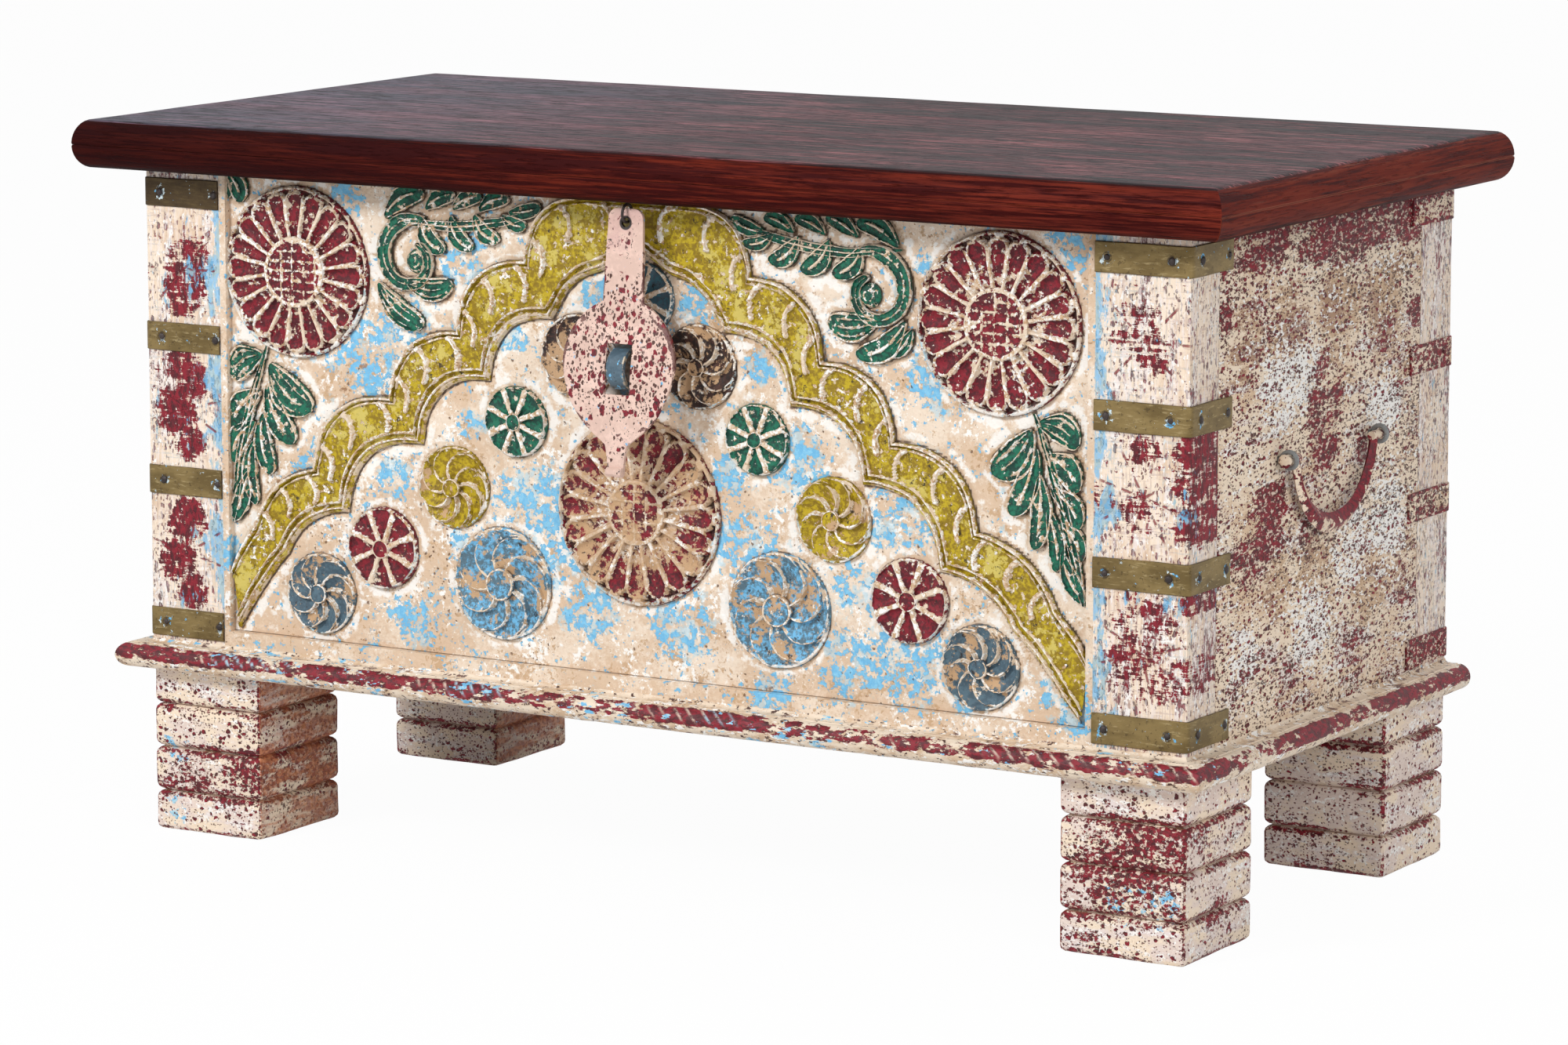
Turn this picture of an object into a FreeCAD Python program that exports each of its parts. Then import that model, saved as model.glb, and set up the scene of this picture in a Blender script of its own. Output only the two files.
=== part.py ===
import FreeCAD, Part
import math
import os

# A carved and painted chest on four block feet, with an overhanging lid, corner straps, a hasp over
# a padlock staple and a bail handle at each end. Millimetres, +Z up, the front faces -Y.
# The origin is on the floor, under the middle of the lid.

# Lid
lid_width = 900.0
lid_depth = 447.6
lid_board_thickness = 17.9
lid_strip_thickness = 16.6
lid_strip_width = 70.0
lid_nose_inset = 11.0
lid_overhang_side = 38.5
lid_overhang_front = 34.8
lid_overhang_back = 16.2
lid_rest_gap = 0.3

# Carcass
body_height = 355.7
post_width = 66.0
front_post_depth = 41.0
rear_post_depth = 50.0
side_board_thickness = 20.0
front_panel_thickness = 26.0
back_board_thickness = 18.0
bottom_board_thickness = 18.0

# Base moulding and feet
moulding_reach = 19.5
moulding_height = 20.2
moulding_cove = 2.5
moulding_lip_flat = 7.5
moulding_under_inset = 8.5
moulding_lower_height = 9.0
leg_height = 118.4
leg_width = 92.0
leg_depth = 97.0
leg_groove_depth = 5.5
leg_band_shares = (0.236, 0.269, 0.265, 0.230)

# Corner straps and the hand-forged nails that hold them
strap_thickness = 1.5
strap_height = 21.0
strap_front_arm = 65.5
strap_side_arm = 57.0
rear_strap_side_arm = 67.0
rear_strap_back_arm = 62.0
strap_top_margin = 6.1
strap_bottom_margin = 2.0
strap_names = ("bottom", "lower", "upper", "top")
nail_radius = 3.2
nail_height = 1.8
nail_sides = 6
nail_end_inset = 6.0
nail_corner_inset = 13.0

# Carved field of the front panel
field_rim = 5.0
field_ledge = 10.9
field_depth = 6.0
relief_height = 5.0
boss_height = 6.0

# Hasp, its wire eye and the padlock staple
hasp_standoff = 17.0
hasp_thickness = 2.6
hasp_shank_width = 31.5
hasp_top_width = 27.0
hasp_top_above_hole = 9.4
hasp_top_corner = 7.0
hasp_hole_radius = 3.4
hasp_shank_length = 53.0
hasp_disc_width = 88.0
hasp_disc_drop = 41.0
hasp_neck_width = 21.0
hasp_neck_drop = 96.0
hasp_tip_width = 16.0
hasp_tip_drop = 114.0
hasp_slot_width = 20.0
hasp_slot_height = 34.0
hasp_slot_drop = 98.0
hasp_curl_radius = 3.4
hasp_bow = 4.3
hasp_bow_shares = ((-0.06, 0), (0.32, 0), (0.50, 0.55), (0.69, 1.0), (0.84, 0.8), (1.03, 0.3))
hasp_lean = 4.3
forged_sides = 8
wire_ring_sides = 12
eye_wire_radius = 1.3
eye_ring_radius = 6.0
eye_drop = 7.6
eye_shank_length = 14.0
staple_width = 16.0
staple_height = 28.6
staple_thickness = 3.2
staple_reach = 32.5
staple_leg_depth = 20.0

# End handles
handle_half_span = 60.0
handle_drop = 50.5
handle_height = 196.1
handle_offset = 7.5
handle_mid_width = 14.0
handle_mid_thickness = 9.0
handle_end_width = 7.5
handle_end_thickness = 6.4
handle_pin_radius = 3.0
handle_pin_length = 17.0
handle_knob_radius = 4.7
handle_knob_length = 3.4
handle_section_count = 10
handle_eye_offset = 9.0
handle_eye_ring_radius = 5.4
handle_eye_wire_radius = 1.9
handle_eye_clinch_length = 14.0
eye_hole_clearance = 0.1

# Hinges
hinge_spacing = 460.0
hinge_width = 50.0
hinge_leaf_thickness = 2.0
hinge_barrel_radius = 5.0
hinge_pin_radius = 2.0
hinge_pin_clearance = 0.05
hinge_pin_overhang = 1.5
hinge_knuckle_gap = 0.3
hinge_body_leaf_height = 46.0
hinge_lid_leaf_depth = 52.0
hinge_nail_margin = 11.0
knuckle_sides = 10
knuckle_count = 3
hinge_gain_clearance = 0.3

overrun = 1.0

# Worked out from the sizes above
half_share = 0.5
diagonal_share = math.sqrt(half_share)
half_lid_width = lid_width / 2
half_lid_depth = lid_depth / 2
half_width = half_lid_width - lid_overhang_side
body_front = -half_lid_depth + lid_overhang_front
body_back = half_lid_depth - lid_overhang_back
body_bottom = leg_height
body_top = body_bottom + body_height
lid_bottom = body_top + lid_rest_gap
lid_seam = lid_bottom + lid_strip_thickness
lid_top = lid_seam + lid_board_thickness
moulding_top = body_bottom + moulding_height
panel_half_width = half_width - post_width
field_half_width = panel_half_width - field_rim
field_bottom = moulding_top + field_ledge
field_height = body_top - field_bottom
ground_y = body_front + field_depth
handle_z = body_bottom + handle_height
hinge_axis_y = body_back + hinge_barrel_radius + hinge_knuckle_gap
hinge_axis_z = lid_bottom - hinge_barrel_radius - hinge_knuckle_gap
eye_centre_z = lid_bottom - eye_drop
hasp_hole_z = eye_centre_z - eye_ring_radius
hasp_y = body_front - hasp_standoff


def vec(x, y, z):
    return FreeCAD.Vector(x, y, z)


def save(name, shape):
    shape.exportStep("parts/" + name + ".step")


def box(x0, y0, z0, x1, y1, z1):
    return Part.makeBox(x1 - x0, y1 - y0, z1 - z0, vec(x0, y0, z0))


def mirrored(shape):
    """The same piece on the other end of the chest."""
    return shape.mirror(vec(0, 0, 0), vec(1, 0, 0))


def arc(a, b, c):
    return Part.Arc(a, b, c).toShape()


def line(a, b):
    return Part.LineSegment(a, b).toShape()


def face(edges):
    return Part.Face(Part.Wire(edges))


def polygon(points):
    return Part.Face(Part.makePolygon(list(points) + [points[0]]))


def ring_points(centre, first, second, radius, count):
    """Corners of a regular polygon in the plane of two directions."""
    turns = [2 * math.pi * (k + half_share) / count for k in range(count)]
    return [centre + first * (radius * math.cos(a)) + second * (radius * math.sin(a)) for a in turns]


def bar(start, along, first, radius, count):
    """A straight bar of a regular polygon's section, as a smith leaves it."""
    second = along.cross(first)
    second.normalize()
    return polygon(ring_points(start, first, second, radius, count)).extrude(along)


def skin(sections):
    """A solid of flat facets through closed rows of points, closed at both ends."""
    faces = [polygon(sections[0]), polygon(sections[-1])]
    for low, high in zip(sections[:-1], sections[1:]):
        for k in range(len(low)):
            j = (k + 1) % len(low)
            faces.append(polygon([low[k], low[j], high[j]]))
            faces.append(polygon([low[k], high[j], high[k]]))
    return Part.makeSolid(Part.makeShell(faces))


# Lid: a board over a mitred frame of edge strips. The seam is at the middle of the rounded nose.

def nosed_prism(start, along, across, length, width, seam, nose):
    """A long slab whose two long edges are half of a rounded nose, from the seam up or down."""
    def at(s, z):
        return start + across * s + vec(0, 0, z)
    inset = lid_nose_inset
    bend = 1 - diagonal_share
    edges = [
        line(at(0, seam), at(width, seam)),
        arc(at(width, seam), at(width - inset * bend, seam + nose * diagonal_share),
            at(width - inset, seam + nose)),
        line(at(width - inset, seam + nose), at(inset, seam + nose)),
        arc(at(inset, seam + nose), at(inset * bend, seam + nose * diagonal_share), at(0, seam)),
    ]
    return face(edges).extrude(along * length)


def nosed_slab(nose):
    corner = vec(-half_lid_width, -half_lid_depth, 0)
    lengthwise = nosed_prism(corner, vec(1, 0, 0), vec(0, 1, 0), lid_width, lid_depth, lid_seam, nose)
    crosswise = nosed_prism(corner, vec(0, 1, 0), vec(1, 0, 0), lid_depth, lid_width, lid_seam, nose)
    return lengthwise.common(crosswise)


def mitre_wedge(side, outer_x, outer_y0, outer_y1, inset, back_inset, z0, z1):
    """The trapezium in plan that one side of a mitred frame fills, as a prism. A back inset of zero
    leaves the side runs square at the back."""
    left, right = -outer_x, outer_x
    corners = {
        "front": [(left, outer_y0), (right, outer_y0), (right - inset, outer_y0 + inset),
                  (left + inset, outer_y0 + inset)],
        "back": [(left, outer_y1), (right, outer_y1), (right - inset, outer_y1 - inset),
                 (left + inset, outer_y1 - inset)],
        "left": [(left, outer_y0), (left, outer_y1), (left + inset, outer_y1 - back_inset),
                 (left + inset, outer_y0 + inset)],
        "right": [(right, outer_y0), (right, outer_y1), (right - inset, outer_y1 - back_inset),
                  (right - inset, outer_y0 + inset)],
    }[side]
    return polygon([vec(x, y, z0) for x, y in corners]).extrude(vec(0, 0, z1 - z0))


sides = ("front", "back", "left", "right")


def make_lid():
    save("lid_board", nosed_slab(lid_board_thickness))
    frame = nosed_slab(-lid_strip_thickness)
    eye_hole = square_wire(vec(0, hasp_y, lid_bottom - overrun), vec(0, 0, eye_shank_length + overrun),
                          vec(1, 0, 0), eye_wire_radius + eye_hole_clearance)
    for side in sides:
        wedge = mitre_wedge(side, half_lid_width, -half_lid_depth, half_lid_depth, lid_strip_width,
                            lid_strip_width, lid_bottom - overrun, lid_seam + overrun)
        strip = frame.common(wedge)
        if side == "front":
            strip = strip.cut(eye_hole)
        save("lid_edge_" + side, strip)


# Carcass boards

def make_carcass():
    post_inner = half_width - post_width
    front_post = box(post_inner, body_front, body_bottom, half_width, body_front + front_post_depth, body_top)
    rear_post = box(post_inner, body_back - rear_post_depth, body_bottom, half_width, body_back, body_top)
    side_board = box(half_width - side_board_thickness, body_front + front_post_depth, body_bottom,
                     half_width, body_back - rear_post_depth, body_top)
    for y in handle_eye_places():
        start = vec(half_width - side_board_thickness - overrun, y, handle_z)
        side_board = side_board.cut(square_wire(start, vec(side_board_thickness + 2 * overrun, 0, 0), vec(0, 0, 1),
                                               handle_eye_wire_radius + eye_hole_clearance))
    back_board = box(-post_inner, body_back - back_board_thickness, body_bottom, post_inner, body_back, body_top)
    bottom_board = box(-half_width + side_board_thickness, body_front + front_panel_thickness, body_bottom,
                       half_width - side_board_thickness, body_back - back_board_thickness,
                       body_bottom + bottom_board_thickness)
    for post in (front_post, rear_post):
        bottom_board = bottom_board.cut(post).cut(mirrored(post))
    gain_depth = hinge_leaf_thickness + hinge_gain_clearance
    for x in (-hinge_spacing / 2, hinge_spacing / 2):
        half_gain = hinge_width / 2 + hinge_gain_clearance
        back_board = back_board.cut(
            box(x - half_gain, body_back - back_board_thickness - overrun, body_top + lid_rest_gap - gain_depth,
                x + half_gain, body_back + overrun, body_top + overrun))
    save("front_post_right", front_post)
    save("front_post_left", mirrored(front_post))
    save("rear_post_right", rear_post)
    save("rear_post_left", mirrored(rear_post))
    save("side_board_right", side_board)
    save("side_board_left", mirrored(side_board))
    save("back_board", back_board)
    save("bottom_board", bottom_board)


# Base moulding: a small cove and a flat lip over a half-round nose, on the front and both ends.
# It is mitred at the front corners and stops square at the back, which stands against a wall.

def moulding_run(start, along, outward, length):
    def at(reach, z):
        return start + outward * reach + vec(0, 0, z)
    lip = moulding_cove + moulding_lip_flat
    cove_z = moulding_top - moulding_cove
    nose_z = body_bottom + moulding_lower_height
    under = moulding_reach - moulding_under_inset
    bend = 1 - diagonal_share
    edges = [
        line(at(0, body_bottom), at(0, moulding_top)),
        arc(at(0, moulding_top), at(moulding_cove * bend, moulding_top - moulding_cove * diagonal_share),
            at(moulding_cove, cove_z)),
        line(at(moulding_cove, cove_z), at(lip, cove_z)),
        arc(at(lip, cove_z),
            at(lip + (moulding_reach - lip) * diagonal_share, nose_z + (cove_z - nose_z) * diagonal_share),
            at(moulding_reach, nose_z)),
        arc(at(moulding_reach, nose_z),
            at(moulding_reach - moulding_under_inset * bend, nose_z - moulding_lower_height * diagonal_share),
            at(under, body_bottom)),
        line(at(under, body_bottom), at(0, body_bottom)),
    ]
    return face(edges).extrude(along * length)


def make_moulding():
    reach = moulding_reach
    depth = body_back - body_front
    front_start = body_front - reach
    runs = {
        "front": (vec(-half_width - reach, body_front, 0), vec(1, 0, 0), vec(0, -1, 0), 2 * (half_width + reach)),
        "left": (vec(-half_width, front_start, 0), vec(0, 1, 0), vec(-1, 0, 0), depth + reach),
        "right": (vec(half_width, front_start, 0), vec(0, 1, 0), vec(1, 0, 0), depth + reach),
    }
    for side, run in runs.items():
        wedge = mitre_wedge(side, half_width + reach, front_start, body_back, reach, 0,
                            body_bottom - overrun, moulding_top + overrun)
        save("moulding_" + side, moulding_run(*run).common(wedge))


# Feet: square blocks cut round by grooves into four soft-edged bands

def banded_prism(start, across, along, width, length):
    r = leg_groove_depth
    bend = r * (1 - diagonal_share)
    edge = []
    low = 0
    for share in leg_band_shares:
        high = low + share * leg_height
        edge += [(r, low), (bend, low + bend), (0, low + r), (0, high - r), (bend, high - bend), (r, high)]
        low = high
    outline = [(width - inset, z) for inset, z in edge] + edge[::-1]
    tidy = [p for p, q in zip(outline, outline[1:] + outline[:1]) if p != q]
    return polygon([start + across * s + vec(0, 0, z) for s, z in tidy]).extrude(along * length)


def leg(x, y):
    corner = vec(x, y, 0)
    lengthwise = banded_prism(corner, vec(1, 0, 0), vec(0, 1, 0), leg_width, leg_depth)
    crosswise = banded_prism(corner, vec(0, 1, 0), vec(1, 0, 0), leg_depth, leg_width)
    return lengthwise.common(crosswise)


def make_legs():
    front = leg(half_width - leg_width, body_front)
    rear = leg(half_width - leg_width, body_back - leg_depth)
    save("leg_front_right", front)
    save("leg_front_left", mirrored(front))
    save("leg_rear_right", rear)
    save("leg_rear_left", mirrored(rear))


# Corner straps, bent round each post and nailed to both faces

def strap_levels():
    lowest = moulding_top + strap_bottom_margin
    highest = body_top - strap_top_margin - strap_height
    steps = len(strap_names) - 1
    return [lowest + (highest - lowest) * k / steps for k in range(len(strap_names))]


def strap(corner_y, turn, face_arm, side_arm, z):
    """A strap on a right-hand corner. turn is 1 where the side arm runs back, and -1 where it runs forward."""
    t = strap_thickness
    x = half_width

    def at(reach_x, reach_y):
        return vec(x + reach_x, corner_y + turn * reach_y, z)
    edges = [
        line(at(-face_arm, 0), at(0, 0)),
        line(at(0, 0), at(0, side_arm)),
        line(at(0, side_arm), at(t, side_arm)),
        line(at(t, side_arm), at(t, 0)),
        line(at(t, 0), at(0, -t)),
        line(at(0, -t), at(-face_arm, -t)),
        line(at(-face_arm, -t), at(-face_arm, 0)),
    ]
    return face(edges).extrude(vec(0, 0, strap_height))


def nail_head(centre, outward, spin):
    """A low faceted rose head on the metal that it holds. spin is any direction across the nail."""
    rim = ring_points(centre, spin, outward.cross(spin), nail_radius, nail_sides)
    peak = centre + outward * nail_height
    faces = [polygon(rim)] + [polygon([a, b, peak]) for a, b in zip(rim, rim[1:] + rim[:1])]
    return Part.makeSolid(Part.makeShell(faces))


def strap_nail_heads(corner_y, turn, face_arm, side_arm, z):
    middle = z + strap_height / 2
    face_y = corner_y - turn * strap_thickness
    side_x = half_width + strap_thickness
    heads = []
    for x in (half_width - nail_corner_inset, half_width - face_arm + nail_end_inset):
        heads.append(nail_head(vec(x, face_y, middle), vec(0, -turn, 0), vec(1, 0, 0)))
    for reach in (nail_corner_inset, side_arm - nail_end_inset):
        heads.append(nail_head(vec(side_x, corner_y + turn * reach, middle), vec(1, 0, 0), vec(0, 1, 0)))
    return heads


def make_straps():
    corners = {
        "front": (body_front, 1, strap_front_arm, strap_side_arm),
        "rear": (body_back, -1, rear_strap_back_arm, rear_strap_side_arm),
    }
    for place, settings in corners.items():
        heads = []
        for name, z in zip(strap_names, strap_levels()):
            piece = strap(*settings, z)
            save("strap_" + place + "_right_" + name, piece)
            save("strap_" + place + "_left_" + name, mirrored(piece))
            heads += strap_nail_heads(*settings, z)
        heads += [mirrored(head) for head in heads]
        save("strap_nails_" + place, Part.makeCompound(heads))


# Carving of the front panel, drawn in the panel's own plane: u to the right, v up, relief towards
# the viewer. Places are shares of the carved field: u from its middle, v from its foot.

outer_cusp_shares = ((0.266, 0.855), (0.430, 0.693), (0.593, 0.541), (0.780, 0.373))
inner_cusp_shares = ((0.203, 0.735), (0.355, 0.595), (0.518, 0.447), (0.696, 0.283))
outer_tail_shares = ((0.946, 0.233), (1.0, 0.146))
inner_tail_shares = ((0.852, 0.180), (0.963, 0.0))
arch_shoulder_shares = (0.125, 1.0)
arch_apex_shares = (0.0, 0.898)
lobe_rise_share = 0.23
tail_rise_share = 0.145
rosette_shares = ((-0.822, 0.795), (0.822, 0.795), (0.0, 0.345))
pinwheel_shares = ((0.775, 0.097), (0.444, 0.371), (0.318, 0.162), (0.144, 0.661))
wheel_shares = ((0.614, 0.218), (0.285, 0.516))
top_wheel_shares = (0.0, 0.794)
fern_shares = ((0.893, 0.620), (0.990, 0.245))
spray_shares = ((0.215, 0.950), (0.560, 0.955))
curl_shares = (0.552, 0.845)

rosette_radii = (59.5, 59.5, 63.5)
rosette_boss_radii = (25.0, 25.0, 23.5)
rosette_ring_width = 3.5
rosette_petal_count = 20
rosette_fill_share = 0.84
pinwheel_radii = (28.0, 28.0, 38.5, 27.0)
pinwheel_vane_count = 7
pinwheel_fill_share = 0.84
pinwheel_sweep = math.radians(48)
pinwheel_boss_share = 0.25
wheel_radii = (28.0, 25.0)
top_wheel_radius = 24.0
wheel_spoke_count = 8
wheel_fill_share = 0.30
wheel_boss_share = 0.22
small_boss_corners = 6
large_boss_corners = 16
motif_edge_steps = 2
lobe_steps = 4
arch_border_width = 6.0
arch_border_height = 1.2
vein_length = 25.0
vein_width = 2.6
vein_bow = 5.0
vein_place_shares = (0.3, 0.68)
vein_side_share = 0.55
leaflet_count = 4
leaflet_length = 33.0
leaflet_width = 13.0
leaflet_lean = math.radians(32)
leaf_belly_share = 0.55
stem_lead_share = 0.08
spray_leaflet_length = 20.0
spray_leaflet_width = 9.0
spray_leaflet_count = 5
curl_radius = 27.0
curl_width = 15.0
curl_bud_radius = 9.0
curl_start = math.radians(135)
curl_sweep = math.radians(255)
curl_steps = 9


def place(shares):
    return vec(field_half_width * shares[0], field_bottom + field_height * shares[1], 0)


def left_of(point):
    return vec(-point.x, point.y, point.z)


def bowed(a, b, rise):
    """Points from a to b, without b, on a curve that rises to the left of the way from a to b."""
    chord = b - a
    side = vec(-chord.y, chord.x, 0)
    side.normalize()
    shares = [k / lobe_steps for k in range(lobe_steps)]
    return [a + chord * s + side * (4 * rise * s * (1 - s)) for s in shares]


def raised(shape, height):
    """A relief that starts inside the board, below the ground of the carving."""
    shape.translate(vec(0, 0, -overrun))
    return shape.extrude(vec(0, 0, height + overrun))


def leaflet(a, b, width):
    """A pointed leaf from a to b, widest past its middle."""
    along = b - a
    side = vec(-along.y, along.x, 0)
    side.normalize()
    half = side * (width / 2)
    return polygon([a, a + along * leaf_belly_share - half, b, a + along * leaf_belly_share + half])


def polar(centre, radius, angle):
    return centre + vec(radius * math.cos(angle), radius * math.sin(angle), 0)


def petal_ring(centre, root, tip, count, fill_share, sweep):
    """Petals, vanes or spokes round a boss, as one outline. sweep bends them round the boss."""
    pitch = 2 * math.pi / count
    half = pitch * fill_share / 2
    steps = motif_edge_steps if sweep else 1
    edge = [(root + (tip - root) * k / steps, sweep * (k / steps) ** 2) for k in range(steps + 1)]
    points = []
    for k in range(count):
        middle = pitch * (k + half_share)
        points += [polar(centre, r, middle - half + turn) for r, turn in edge]
        points += [polar(centre, r, middle + half + turn) for r, turn in reversed(edge)]
    return polygon(points)


def round_boss(centre, radius, corners):
    return raised(polygon(ring_points(centre, vec(1, 0, 0), vec(0, 1, 0), radius, corners)), boss_height)


def arch_outline():
    """The lobed band of the arch, from its crown down to both feet."""
    outer = [place(s) for s in outer_cusp_shares]
    inner = [place(s) for s in inner_cusp_shares]
    outer_bend, outer_end = [place(s) for s in outer_tail_shares]
    inner_bend, inner_end = [place(s) for s in inner_tail_shares]
    shoulder = place(arch_shoulder_shares)

    def lobes(stops, bend):
        points = []
        for a, b in zip(stops[:-1], stops[1:]):
            points += bowed(a, b, (b - a).Length * lobe_rise_share)
        return points + bowed(stops[-1], bend, (bend - stops[-1]).Length * tail_rise_share) + [bend]
    inside = lobes([place(arch_apex_shares)] + inner, inner_bend)
    outside = lobes([shoulder] + outer, outer_bend)
    foot = vec(outer_end.x + overrun, inner_end.y - overrun, 0)
    right = inside + [inner_end, vec(inner_end.x, foot.y, 0), foot, vec(foot.x, outer_end.y, 0), outer_end]
    right += outside[::-1] + [shoulder + vec(0, overrun, 0)]
    return polygon(right + [left_of(p) for p in right[:0:-1]])


def arch_veins():
    """Two curved ribs in each lobe, from its outer border inwards."""
    ribs = []
    cusps = [place(s) for s in outer_cusp_shares]
    for a, b in zip(cusps[:-1], cusps[1:]):
        chord = b - a
        along = vec(chord.x, chord.y, 0)
        along.normalize()
        inward = vec(along.y, -along.x, 0)
        for share in vein_place_shares:
            start = a + chord * share + inward * (-chord.Length * lobe_rise_share * vein_side_share)
            start = start + inward * arch_border_width
            end = start + inward * vein_length + along * (-vein_bow)
            belly = (start + end) * 0.5 + along * vein_bow
            ribs.append(polygon([start, belly, end, belly - along * vein_width]))
    return ribs


def leaf_row(a, b, count, length, width, first, last, lean):
    """Leaflets on both sides of a stem from a to b, leaning towards b. first and last are their share
    of the full length at each end."""
    stem = b - a
    heading = math.atan2(stem.y, stem.x)
    leaves = []
    for k in range(count):
        share = k / (count - 1)
        base = a + stem * (share * (count - 1) / count)
        reach = length * (first + (last - first) * share)
        for side in (-1, 1):
            tip = polar(base, reach, heading + side * lean)
            leaves.append(leaflet(base, tip, width))
    leaves.append(leaflet(a - stem * stem_lead_share, b, width * diagonal_share))
    return leaves


def curl():
    """The rolled end of a scroll leaf: a crescent that thins towards its tip, round a bud."""
    centre = place(curl_shares)
    turns = [curl_start - curl_sweep * k / curl_steps for k in range(curl_steps + 1)]
    outside = [polar(centre, curl_radius, a) for a in turns]
    inside = [polar(centre, curl_radius - curl_width * math.sin(math.pi * k / curl_steps), a)
              for k, a in enumerate(turns)]
    return polygon(outside + inside[-2:0:-1])


def on_front(shape):
    """From the panel's plane to its place on the chest."""
    shape.rotate(vec(0, 0, 0), vec(1, 0, 0), 90)
    shape.translate(vec(0, ground_y, 0))
    return shape


def carving():
    reliefs = []
    for shares, radius, boss in zip(rosette_shares, rosette_radii, rosette_boss_radii):
        centre = place(shares)
        petals = petal_ring(centre, boss, radius, rosette_petal_count, rosette_fill_share, 0)
        reliefs.append(raised(petals, relief_height))
        reliefs.append(round_boss(centre, boss - rosette_ring_width, large_boss_corners))
    for shares, radius in zip(pinwheel_shares, pinwheel_radii):
        for centre, sweep in ((place(shares), -pinwheel_sweep), (left_of(place(shares)), pinwheel_sweep)):
            boss = radius * pinwheel_boss_share
            vanes = petal_ring(centre, boss * diagonal_share, radius, pinwheel_vane_count, pinwheel_fill_share, sweep)
            reliefs += [raised(vanes, relief_height), round_boss(centre, boss, small_boss_corners)]
    wheels = [(place(top_wheel_shares), top_wheel_radius)]
    for shares, radius in zip(wheel_shares, wheel_radii):
        wheels += [(place(shares), radius), (left_of(place(shares)), radius)]
    for centre, radius in wheels:
        boss = radius * wheel_boss_share
        spokes = petal_ring(centre, boss * diagonal_share, radius, wheel_spoke_count, wheel_fill_share, 0)
        reliefs += [raised(spokes, relief_height), round_boss(centre, boss, small_boss_corners)]
    reliefs.append(raised(arch_outline(), relief_height - arch_border_height))
    flat = leaf_row(place(fern_shares[0]), place(fern_shares[1]), leaflet_count, leaflet_length,
                    leaflet_width, 1, 0.6, leaflet_lean)
    flat += leaf_row(place(spray_shares[1]), place(spray_shares[0]), spray_leaflet_count, spray_leaflet_length,
                     spray_leaflet_width, 1, 0.7, leaflet_lean)
    flat += [curl()] + arch_veins()
    for shape in flat:
        relief = raised(shape, relief_height)
        reliefs += [relief, mirrored(relief)]
    bud = round_boss(place(curl_shares), curl_bud_radius, small_boss_corners)
    reliefs += [bud, mirrored(bud)]
    return reliefs


def staple():
    """The padlock staple: a flat strip bent into a loop that a shackle passes through sideways."""
    z = hasp_hole_z - hasp_slot_drop
    half = staple_height / 2
    tip = body_front - staple_reach
    bend_y = tip + half
    root = body_front + staple_leg_depth

    def at(y, up):
        return vec(-staple_width / 2, y, z + up)
    inner = half - staple_thickness
    edges = [
        line(at(root, half), at(bend_y, half)),
        arc(at(bend_y, half), at(tip, 0), at(bend_y, -half)),
        line(at(bend_y, -half), at(root, -half)),
        line(at(root, -half), at(root, -inner)),
        line(at(root, -inner), at(bend_y, -inner)),
        arc(at(bend_y, -inner), at(tip + staple_thickness, 0), at(bend_y, inner)),
        line(at(bend_y, inner), at(root, inner)),
        line(at(root, inner), at(root, half)),
    ]
    return face(edges).extrude(vec(staple_width, 0, 0))


def make_front_panel():
    board = box(-panel_half_width, body_front, body_bottom, panel_half_width,
                body_front + front_panel_thickness, body_top)
    field = box(-field_half_width, body_front - overrun, field_bottom, field_half_width, ground_y,
                body_top + overrun)
    inside_field = box(-field_half_width, body_front - overrun, field_bottom, field_half_width,
                       ground_y + overrun, body_top)
    board = board.cut(field)
    reliefs = [on_front(relief) for relief in carving()]
    merged = reliefs[0].multiFuse(reliefs[1:]).common(inside_field)
    lock = staple()
    panel = board.fuse(merged).cut(lock).removeSplitter()
    save("front_panel", panel)
    save("lock_staple", lock)


# Hasp, hung on a wire eye under the lid's front edge

def hasp_sheet(tip_drop):
    """The sheet that the hasp is cut from, bowed outwards past the shank."""
    rows = [(hasp_y - hasp_bow * bow, hasp_hole_z - tip_drop * drop) for drop, bow in hasp_bow_shares]
    half = hasp_thickness / 2
    points = [vec(-half_width, y + half, z) for y, z in rows] + [vec(-half_width, y - half, z) for y, z in rows[::-1]]
    return polygon(points).extrude(vec(2 * half_width, 0, 0))


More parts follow.
